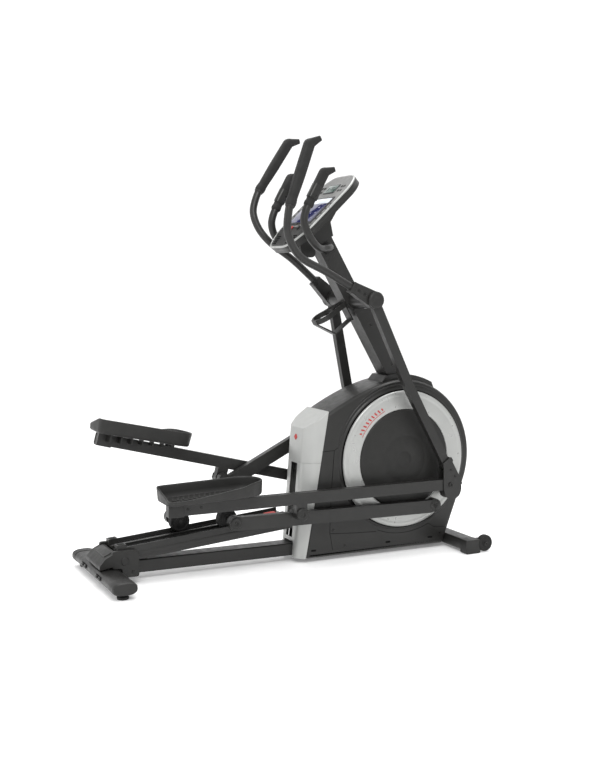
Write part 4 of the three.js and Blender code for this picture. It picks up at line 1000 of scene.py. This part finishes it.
PEDAL_REAR, PEDAL_FRONT = -0.604, -0.179
PEDAL_INNER, PEDAL_OUTER = 0.100, 0.270
PEDAL_SEAT = 0.0863
PEDAL_TILT = radians(2.5)


def pedal_outline():
    """The tray's outline as (along, across), for the left foot, anticlockwise."""
    rear, front, low, high = PEDAL_REAR, PEDAL_FRONT, PEDAL_INNER, PEDAL_OUTER
    nose = (front, (low + high) / 2)
    points = bezier((front - 0.092, low), (front - 0.036, low), (front, low + 0.026), nose, 14)
    points += bezier(nose, (front, high - 0.026), (front - 0.048, high), (front - 0.110, high), 14)[1:]
    points.append((rear + 0.10, high))
    points += bezier((rear + 0.034, high), (rear + 0.012, high), (rear, high - 0.012), (rear, high - 0.034), 6)
    points += bezier((rear, low + 0.034), (rear, low + 0.012), (rear + 0.012, low), (rear + 0.034, low), 6)
    points.append((rear + 0.10, low))
    return points


def build_pedal(name, side, pivot, angle):
    """A tray with flared walls, a rolled rim and a floor of slanted ribs."""
    body = f"{name}_pedal_arm"

    def place(u, v, h):
        if h > 0.009:
            h *= 1 - 0.66 * ease(0.186, 0.262, v) * (1 - ease(-0.400, -0.215, u))
        along = u - PEDAL_REAR
        local_u = PEDAL_REAR + along * cos(PEDAL_TILT) - h * sin(PEDAL_TILT)
        local_w = PEDAL_SEAT + along * sin(PEDAL_TILT) + h * cos(PEDAL_TILT)
        x, z = side_point(pivot, angle, local_u, local_w)
        return Vector((x, side * v, z))

    def tread(u, v, h):
        return place(u, v, 0.0085) + (place(u, v, 0.0089) - place(u, v, 0.0085)) * (h - 0.0085) / 0.0004

    levels = [(0.014, 0.0), (0.008, 0.0004), (0.004, 0.004), (0.0026, 0.012), (0.0012, 0.036), (0.0, 0.050),
              (0.0, 0.0575), (0.0012, 0.0596), (0.0042, 0.0600), (0.0062, 0.0585), (0.0072, 0.052),
              (0.0088, 0.028), (0.0105, 0.0125), (0.0135, 0.0088), (0.020, 0.0080)]
    mesh = stacked("pedal", pedal_outline(), levels, place)
    piece(f"look_pedal_{name}", mesh, body, PLASTIC, [f"pedal_{name}"], 50)
    ribs = []
    for k in range(19):
        start = -0.586 + 0.0225 * k
        for near, far in ((0.187, 0.252), (0.183, 0.118)):
            reach = 0.026
            if start + reach > -0.207 - 0.6 * abs(far - 0.185):
                continue
            bar = rounded_outline([
                (start, near), (start + 0.0095, near), (start + reach + 0.0095, far), (start + reach, far),
            ], 0.002, 2)
            if far < near:
                bar = bar[::-1]
            ribs.append(stacked("rib", bar, [(0, 0.0070), (0.0004, 0.0104), (0.0018, 0.0114)], tread))
    piece(f"pedal_tread_{name}", joined("tread", ribs), body, TREAD)
    post = plate(-0.281, -0.257, 0.178, 0.197, 0.004)
    mesh = stacked("post", post, [(0, -0.012), (0, 0.002)], place)
    piece(f"pedal_post_{name}", mesh, body, PLASTIC)
    webs = []
    for k in range(7):
        u = -0.545 + 0.046 * k
        depth = 0.034 - 0.0035 * k
        bar = plate(u, u + 0.005, 0.118, 0.166, 0.001, 1)
        webs.append(stacked("web", bar, [(0.0, -depth), (0, 0.001)], place))
    piece(f"pedal_webs_{name}", joined("webs", webs), body, PLASTIC)


for side_name, side_sign in SIDES.items():
    build_roller_arm(side_name, side_sign)
    build_pedal_arm(side_name, side_sign)

# ---------------------------------------------------------------- swing legs


def grip_sections(width, height, palm):
    """Ring sizes along a moulded grip: a flange, a waist, an even palm and a tapered tip."""

    def ring(place, total):
        share = place / total
        grow = 1.0
        if share < 0.03:
            grow = 0.86 + 4.6 * share
        elif 0.07 <= share < 0.12:
            grow = 1.0 - 0.10 * (share - 0.07) / 0.05
        elif 0.12 <= share < 0.5:
            grow = 0.90 + 0.10 * sin(pi * (share - 0.12) / 0.76)
        if place > palm:
            beyond = (place - palm) / (total - palm)
            grow = 1.0 - 0.50 * beyond ** 0.8
        ribs = 0.009 * cos(place * 2 * pi / 0.008) if 0.16 < share < 0.68 else 0.0
        size = grow * (1 + ribs)
        power = 2.4 + 1.2 * min(1.0, max(0.0, (share - 0.1) * 3))
        return soft_square(width * size, height * size, power, 32)

    return ring


def grip_path(start, neck, tip):
    """The palm's straight line, a tight bend at the neck and the short tip."""
    length = (neck - start).length
    straight = [start.lerp(neck, k / 60) for k in range(59)]
    bend = [start.lerp(neck, 59 / 60), neck, neck.lerp(tip, 0.08)]
    turn = [
        bend[0].lerp(bend[1], t).lerp(bend[1].lerp(bend[2], t), t) for t in [k / 4 for k in range(5)]
    ]
    return straight + turn + [neck.lerp(tip, share) for share in (0.3, 0.55, 0.8, 0.93, 1.0)], length


SOCKET_TURN = radians(127)
GRIP_SPREAD = 0.275


def build_swing_side(name, side):
    body = f"{name}_leg"
    refined(f"swing_leg_{name}", POWDER, 0.006, 5)
    on_leg = standing(*leg_frame(name), side)

    def at(u, spread, w):
        return Vector(on_leg(u, w, spread))

    start = at(-0.233, GRIP_SPREAD, 0.517)
    neck = at(-0.044, GRIP_SPREAD, 0.709)
    tip = at(0.010, GRIP_SPREAD, 0.710)
    along = (neck - start).normalized()
    path = [at(cos(SOCKET_TURN) * d, 0.188, sin(SOCKET_TURN) * d) for d in (0.067, 0.112, 0.122, 0.130)]
    path += [at(-0.157, 0.199, 0.207), at(-0.244, 0.226, 0.307), at(-0.272, 0.250, 0.376)]
    path += [at(-0.272, 0.268, 0.445), start]
    path += [start + along * d for d in (0.004, 0.030, 0.090)]
    tube = sweep("bar", curve_points(path, 8), tube_ring)
    piece(f"look_swing_bar_{name}", tube, body, POWDER, [f"swing_bar_{name}"], 60)
    first = start + along * 0.008
    line, palm = grip_path(first, neck, tip)
    mesh = sweep("grip", line, grip_sections(0.0185, 0.0220, palm))
    grip = piece(f"look_swing_grip_{name}", mesh, body, RUBBER, [f"swing_grip_{name}"], 50)
    ring = [first + along * d for d in (-0.004, -0.003, 0.0, 0.004, 0.005)]
    piece(f"grip_collar_{name}", sweep("collar", ring, collar_ring), body, PLASTIC)
    build_socket(name, side, body)
    build_hub(name, side, body)
    build_bracket(name, side, body)


def tube_ring(place, total):
    return circle(0.016, 28)


def collar_ring(place, total):
    return circle(0.0178 + 0.0022 * sin(pi * place / total), 28)


def build_socket(name, side, body):
    """The clamp sleeve's rim at the top of the leg, and its two screws."""
    pivot, angle = leg_frame(name)
    place = standing(pivot, angle + SOCKET_TURN, side)
    rim = plate(0.100, 0.1225, -0.0245, 0.0245, 0.004)
    mesh = stacked("rim", rim, edge_levels(0.1675, 0.2085, 0.003, 3, True), place)
    piece(f"socket_rim_{name}", mesh, body, PLASTIC)
    spots = [place(u, 0, 0.2068) for u in (0.056, 0.086)]
    bolts(f"socket_bolts_{name}", body, [(spot, (0, side, 0), 0.0062) for spot in spots])


def build_hub(name, side, body):
    face = outer_face(f"swing_leg_{name}", side)
    cap = [(0, 0.0020), (0.014, 0.0022), (0.0165, 0.0030), (0.0265, 0.0026), (0.0315, 0.0008),
           (0.0354, -0.003), (0.0367, -0.008), (0.0367, -0.018), (0, -0.018)]
    piece(f"hub_cap_{name}", lathe("cap", outward(face, side, cap), SWING, 56), body, PLASTIC)
    # The groove is a thin near-black band of painted shade round the cap's side.
    groove = [(0.0362, -0.0125), (0.0370, -0.0125), (0.0370, -0.0108), (0.0362, -0.0108), (0.0362, -0.0125)]
    piece(f"hub_groove_shade_{name}", lathe("groove", outward(face, side, groove), SWING, 56), body, SEAM_AND_SHADE)


def build_bracket(name, side, body):
    """The collar above the leg's foot bracket, the hinge screw and two small ones."""
    place = standing(*leg_frame(name), side)
    collar = rounded_outline([(0.000, -0.822), (0.006, -0.800), (0.052, -0.792), (0.054, -0.812)], 0.004)
    mesh = stacked("collar", collar, edge_levels(0.1655, 0.2105, 0.002, 3, True), place)
    piece(f"bracket_collar_{name}", mesh, body, POWDER)
    spots = ((0.0, -0.903, 0.0105), (0.030, -0.845, 0.0052), (0.036, -0.880, 0.0052))
    bolts(f"bracket_bolts_{name}", body, [
        (place(u, w, 0.2094), (0, side, 0), radius) for u, w, radius in spots
    ])


for side_name, side_sign in SIDES.items():
    build_swing_side(side_name, side_sign)

# ---------------------------------------------------------------- mast and holder

LEAN = radians(30)
MAST_SETBACK = 0.010
MAST_HALF_WIDTH, LOWER_MAST_HALF_WIDTH = 0.035, 0.045
MAST_TOP = 0.288


def mast_point(along, across):
    """A point of the leaning mast, along it and across it from the swing axle."""
    return (
        SWING.x - MAST_SETBACK - sin(LEAN) * along + cos(LEAN) * across,
        SWING.y + cos(LEAN) * along + sin(LEAN) * across,
    )


def build_mast():
    refined("upper_mast", POWDER, 0.009, 5)
    refined("lower_mast", COVER, 0.020, 7)
    refined("bottle_holder", PLASTIC, 0.0020, 3)
    places = []
    for side in SIDES.values():
        for along, across, radius in ((0.235, 0.018, 0.0055), (0.235, -0.018, 0.0055), (0.060, 0.0, 0.004)):
            x, z = mast_point(along, across)
            places.append(((x, side * MAST_HALF_WIDTH, z), (0, side, 0), radius))
        for x, z in shifted([(0.402, 1.010), (0.510, 0.835)]):
            places.append(((x, side * LOWER_MAST_HALF_WIDTH, z), (0, side, 0), 0.0045))
    bolts("mast_bolts", "base", places)
    collar = [(0.0353, 0.1655), (0.0366, 0.1650), (0.0366, 0.1575), (0.0353, 0.157), (0.0353, 0.1655)]
    for name, side in SIDES.items():
        ring = outward(0, side, collar)
        piece(f"cross_tube_collar_{name}", lathe("collar", ring, SWING, 48), "base", PLASTIC)
    panel = plate(0.090, 0.210, -0.026, 0.026, 0.006)
    for name, side in SIDES.items():
        place = mast_side(side)
        mesh = stacked("panel", panel, [(0, 0.0345), (0, 0.0354), (0.001, 0.0359)], place)
        piece(f"mast_panel_{name}", mesh, "base", COVER)


def mast_side(side):
    def place(u, v, height):
        x, z = mast_point(u, v)
        return (x, side * height, z)

    return place


build_mast()

# ---------------------------------------------------------------- console

HEAD = mast_point(MAST_TOP, 0.0)
# Places an outline on the console's face, from its lower edge.
on_console = lying((HEAD[0] - 0.207, HEAD[1] - 0.0274), radians(43.5))
CONSOLE_LENGTH, CONSOLE_HALF = 0.448, 0.152
TRAY_END, UPPER_FACE_START = 0.126, 0.128


def console_outline():
    right = [(0, 0.070), (0.022, 0.104), (0.104, CONSOLE_HALF), (0.372, CONSOLE_HALF),
             (0.424, CONSOLE_HALF - 0.034), (CONSOLE_LENGTH, 0.080)]
    left = [(u, -v) for u, v in right]
    return rounded_outline(left + right[::-1], 0.034, 6)


def anticlockwise(points):
    area = sum(a[0] * b[1] - b[0] * a[1] for a, b in zip(points, points[1:] + points[:1]))
    return points if area > 0 else points[::-1]


def round_key(u, v, radius, levels, count=16):
    turns = [2 * pi * k / count for k in range(count)]
    ring = [(u + radius * cos(turn), v + radius * sin(turn)) for turn in turns]
    return stacked("key", ring, levels, on_console)


def window(name, span, half, heights, radius, material, corner, nodes=()):
    """A plate on the console's face, or the lit part of a display where it has nodes."""
    mesh = stacked(name, plate(*span, -half, half, corner), edge_levels(*heights, radius, 3), on_console)
    piece(name, mesh, "base", material, nodes)


def build_console():
    outline = anticlockwise(console_outline())
    refined("console_housing", COVER, 0.007, 5)
    back = [(0.020, -0.0362), (0.010, -0.0345), (0.003, -0.027), (0.0005, -0.016), (0.0005, -0.0062)]
    piece("console_shell", stacked("shell", outline, back, on_console), "base", COVER)
    rim = [(0.0010, -0.0068), (0.0, -0.0050), (0.0, -0.0018), (0.0012, 0.0002), (0.0035, 0.0010),
           (0.0068, 0.0006), (0.0085, -0.0012), (0.0086, -0.0030)]
    made = stacked("rim", outline, rim, on_console)
    piece("look_console_face", made, "base", SILVER, ["console_face"], 50)
    build_console_faces(outline)
    window("display_frame", (0.140, 0.304), 0.118, (-0.002, 0.0030), 0.002, INK, 0.010)
    window("look_console_display", (0.150, 0.262), 0.103, (0.0, 0.0036), 0.0006, BLUE, 0.004,
           ["console_display"])
    window("display_strip", (0.264, 0.294), 0.103, (0.0, 0.0036), 0.0006, PALE, 0.004)
    window("lcd_frame", (0.331, 0.387), 0.051, (-0.002, 0.0024), 0.0015, INK, 0.008)
    window("look_console_lcd", (0.338, 0.380), 0.044, (0.0, 0.0030), 0.0006, LCD, 0.004,
           ["console_lcd"])
    build_display_marks()
    build_keys()
    build_speaker_slits()


def build_console_faces(outline):
    """The silver upper face and the dark tray below it, inside the rim."""
    start, edge = UPPER_FACE_START, CONSOLE_HALF - 0.0005
    upper = sorted([p for p in outline if p[0] > start], key=lambda p: atan2(p[1], p[0] - start))
    upper = anticlockwise([(start, -edge), *upper, (start, edge)])
    face = [(0.0087, -0.0030), (0.0087, -0.0004), (0.0105, 0.0004)]
    piece("console_upper_face", stacked("upper", upper, face, on_console), "base", FACE)
    lower = [p for p in outline if p[0] < start]
    lower.sort(key=lambda p: atan2(p[1], TRAY_END - p[0]), reverse=True)
    lower = anticlockwise([*lower, (TRAY_END, edge), (TRAY_END, -edge)])
    tray = [(0.0087, -0.0030), (0.0087, -0.0002), (0.0115, 0.0006), (0.020, -0.0006), (0.024, -0.0010)]
    piece("console_tray", stacked("tray", lower, tray, on_console), "base", PLASTIC)


def build_display_marks():
    """Plain marks on the display, and bars like digits on the small window."""
    marks = []
    for row in range(3):
        for column in range(4):
            u = 0.170 + 0.032 * row
            v = -0.082 + 0.046 * column + 0.006 * row
            length = 0.008 + 0.004 * ((row * 5 + column * 3) % 4)
            outline = plate(u, u + 0.006, v, v + length, 0.002, 2)
            marks.append(stacked("mark", outline, [(0, 0.0030), (0, 0.0039)], on_console))
    piece("display_marks", joined("marks", marks), "base", VIOLET)
    across = [(u, 0, 0.0025, 0.010) for u in (0.345, 0.357, 0.369)]
    upright = [(0.346, v, 0.025, 0.0025) for v in (-0.001, 0.0095)]
    bars = []
    for column in range(4):
        for u, v, long, wide in across + upright:
            if (column * 7 + int(u * 1000)) % 5 == 0:
                continue
            v += -0.034 + 0.018 * column
            corners = [(u, v), (u + long, v), (u + long, v + wide), (u, v + wide)]
            bars.append(stacked("bar", corners, [(0, 0.0028), (0, 0.0034)], on_console))
    piece("lcd_bars", joined("bars", bars), "base", INK)


def build_keys():
    """Two columns of keys beside each window, and the start and stop keys, which move."""
    low_key = [(0, -0.001), (0, 0.0014), (0.0012, 0.0024), (0.003, 0.0028)]
    keys = [round_key(u, v, 0.0070, low_key) for v in (-0.100, -0.078, 0.078, 0.100) for u in (0.346, 0.372)]
    for v in (-0.12852, 0.12852):
        keys += [round_key(u, v, 0.006, low_key) for u in (0.170, 0.200, 0.230, 0.260)]
    piece("console_keys", joined("keys", keys), "base", PLASTIC)
    tall_key = [(0, -0.0040), (0, 0.0028), (0.0008, 0.0036), (0.003, 0.0038), (0.0065, 0.0034)]
    for name, v, finish in (("start", -0.034, RUBBER), ("stop", 0.034, RED)):
        mesh = round_key(0.118, v, 0.0108, tall_key, 28)
        piece(f"look_{name}_button", mesh, f"{name}_key", finish, [f"{name}_button"])


def build_speaker_slits():
    # The slits are near-black plates of painted shade on the console's face.
    slits = []
    for side in SIDES.values():
        for k in range(5):
            u = 0.022 + 0.011 * k
            v = side * (0.062 + 0.004 * k)
            outline = plate(u, u + 0.004, v - 0.016, v + 0.016, 0.002, 2)
            slits.append(stacked("slit", outline, [(0, -0.002), (0, 0.0010)], on_console))
    piece("speaker_slits", joined("slits", slits), "base", SEAM_AND_SHADE)


build_console()

# ---------------------------------------------------------------- fixed handlebar


def build_fixed_handlebar():
    head = Vector((HEAD[0], 0, HEAD[1]))
    start = head + Vector((-0.144, 0.160, 0.1286))
    neck = head + Vector((-0.064, 0.160, 0.275))
    tip = head + Vector((-0.018, 0.160, 0.289))
    along = (neck - start).normalized()
    clamp = mast_point(0.256, 0.0)
    half = [start + along * d for d in (0.082, 0.030, 0.004, 0.0)]
    half += [head + Vector(bend) for bend in (
        (-0.157, 0.160, 0.0796), (-0.139, 0.163, 0.0236), (-0.095, 0.146, -0.0224),
        (-0.050, 0.108, -0.0344), (-0.010, 0.085, -0.0314),
    )]
    half += [Vector((clamp[0], y, clamp[1])) for y in (0.057, 0.043, 0.025, 0.004)]
    path = [mirrored(point, -1) for point in half] + half[::-1]
    tube = sweep("bar", curve_points(path, 8), tube_ring)
    piece("look_fixed_handlebar", tube, "base", POWDER, ["fixed_handlebar"], 60)
    collar = [(0.0165, 0.0352), (0.0240, 0.0352), (0.0245, 0.0370), (0.0240, 0.0440), (0.0215, 0.0465),
              (0.0165, 0.0465), (0.0165, 0.0352)]
    for name, side in SIDES.items():
        first = mirrored(start + along * 0.008, side)
        line, palm = grip_path(first, mirrored(neck, side), mirrored(tip, side))
        mesh = sweep("grip", line, grip_sections(0.0180, 0.0210, palm))
        grip = piece(f"look_fixed_grip_{name}", mesh, "base", RUBBER, [f"fixed_grip_{name}"],
                     50)
        middle = mirrored(start + along * 0.075, side)
        sleeve = [middle + along * d for d in (-0.030, -0.029, 0.029, 0.030)]
        piece(f"pulse_plate_{name}", sweep("sensor", sleeve, sensor_ring), "base", BLACK_STEEL)
        mesh = lathe("collar", outward(0, side, collar), clamp, 40)
        piece(f"bar_collar_{name}", mesh, "base", PLASTIC)


def mirrored(point, side):
    return Vector((point.x, side * point.y, point.z))


def sensor_ring(place, total):
    return soft_square(0.0186, 0.0226, 3.4, 32)


build_fixed_handlebar()

# ---------------------------------------------------------------- stage


def build_stage():
    """A plain floor that curves up into a wall far behind the object."""
    mesh = bpy.data.meshes.new("floor")
    bm = bmesh.new()
    size, back, bend = 30.0, 9.0, 3.0
    turns = [k * pi / 24 for k in range(1, 13)]
    profile = [(-14.0, 0.0), (back, 0.0)]
    profile += [(back + bend * sin(turn), bend * (1 - cos(turn))) for turn in turns]
    profile.append((back + bend, 16.0))
    rows = [[bm.verts.new((x, y, z)) for x in (-size, size)] for y, z in profile]
    for low, high in zip(rows, rows[1:]):
        bm.faces.new((low[0], low[1], high[1], high[0]))
    bm.to_mesh(mesh)
    bm.free()
    floor = bpy.data.objects.new("floor", mesh)
    bpy.context.scene.collection.objects.link(floor)
    white = surface("studio_floor", (0.88, 0.88, 0.88), 0.75, 0.0, 300, 0.02, vary=0.01)
    shader = white.node_tree.nodes["Principled BSDF"]
    shader.inputs["Emission Color"].default_value = (1, 1, 1, 1)
    shader.inputs["Emission Strength"].default_value = 0.16
    mesh.materials.append(white)
    mesh.polygons.foreach_set("use_smooth", [True] * len(mesh.polygons))
    floor.location.z = -0.0005
    floor.rotation_euler.z = -0.45


LENS = 51.912
CAMERA_YAW, CAMERA_PITCH = 0.450, 0.101


def area_light(name, place, target, size, power):
    data = bpy.data.lights.new(name, "AREA")
    data.shape = "RECTANGLE"
    data.size, data.size_y = size
    data.energy = power
    light = bpy.data.objects.new(name, data)
    light.location = place
    light.rotation_euler = (Vector(target) - Vector(place)).to_track_quat("-Z", "Y").to_euler()
    bpy.context.scene.collection.objects.link(light)


def build_lights_and_camera():
    world = bpy.data.worlds.new("studio")
    world.use_nodes = True
    background = world.node_tree.nodes["Background"]
    background.inputs["Color"].default_value = (1, 1, 1, 1)
    background.inputs["Strength"].default_value = 0.95
    bpy.context.scene.world = world
    area_light("key", (-1.6, -3.6, 4.2), (0.1, 0, 0.7), (2.6, 1.8), 150)
    area_light("side", (-4.2, 0.8, 2.0), (0, 0, 0.8), (2.4, 2.6), 30)
    area_light("top", (0.6, 0.6, 4.6), (0.2, 0, 0.6), (3.4, 2.4), 130)
    data = bpy.data.cameras.new("camera")
    data.sensor_width = 36.0
    data.lens = LENS
    data.dof.use_dof = False
    camera = bpy.data.objects.new("camera", data)
    yaw, pitch = CAMERA_YAW, CAMERA_PITCH
    view = Vector((sin(yaw) * cos(pitch), cos(yaw) * cos(pitch), -sin(pitch)))
    camera.location = (-2.003 + SHIFT, -4.311, 1.230)
    camera.rotation_euler = view.to_track_quat("-Z", "Y").to_euler()
    bpy.context.scene.collection.objects.link(camera)
    bpy.context.scene.camera = camera
    bpy.context.scene.view_settings.view_transform = "Standard"


build_stage()
build_lights_and_camera()
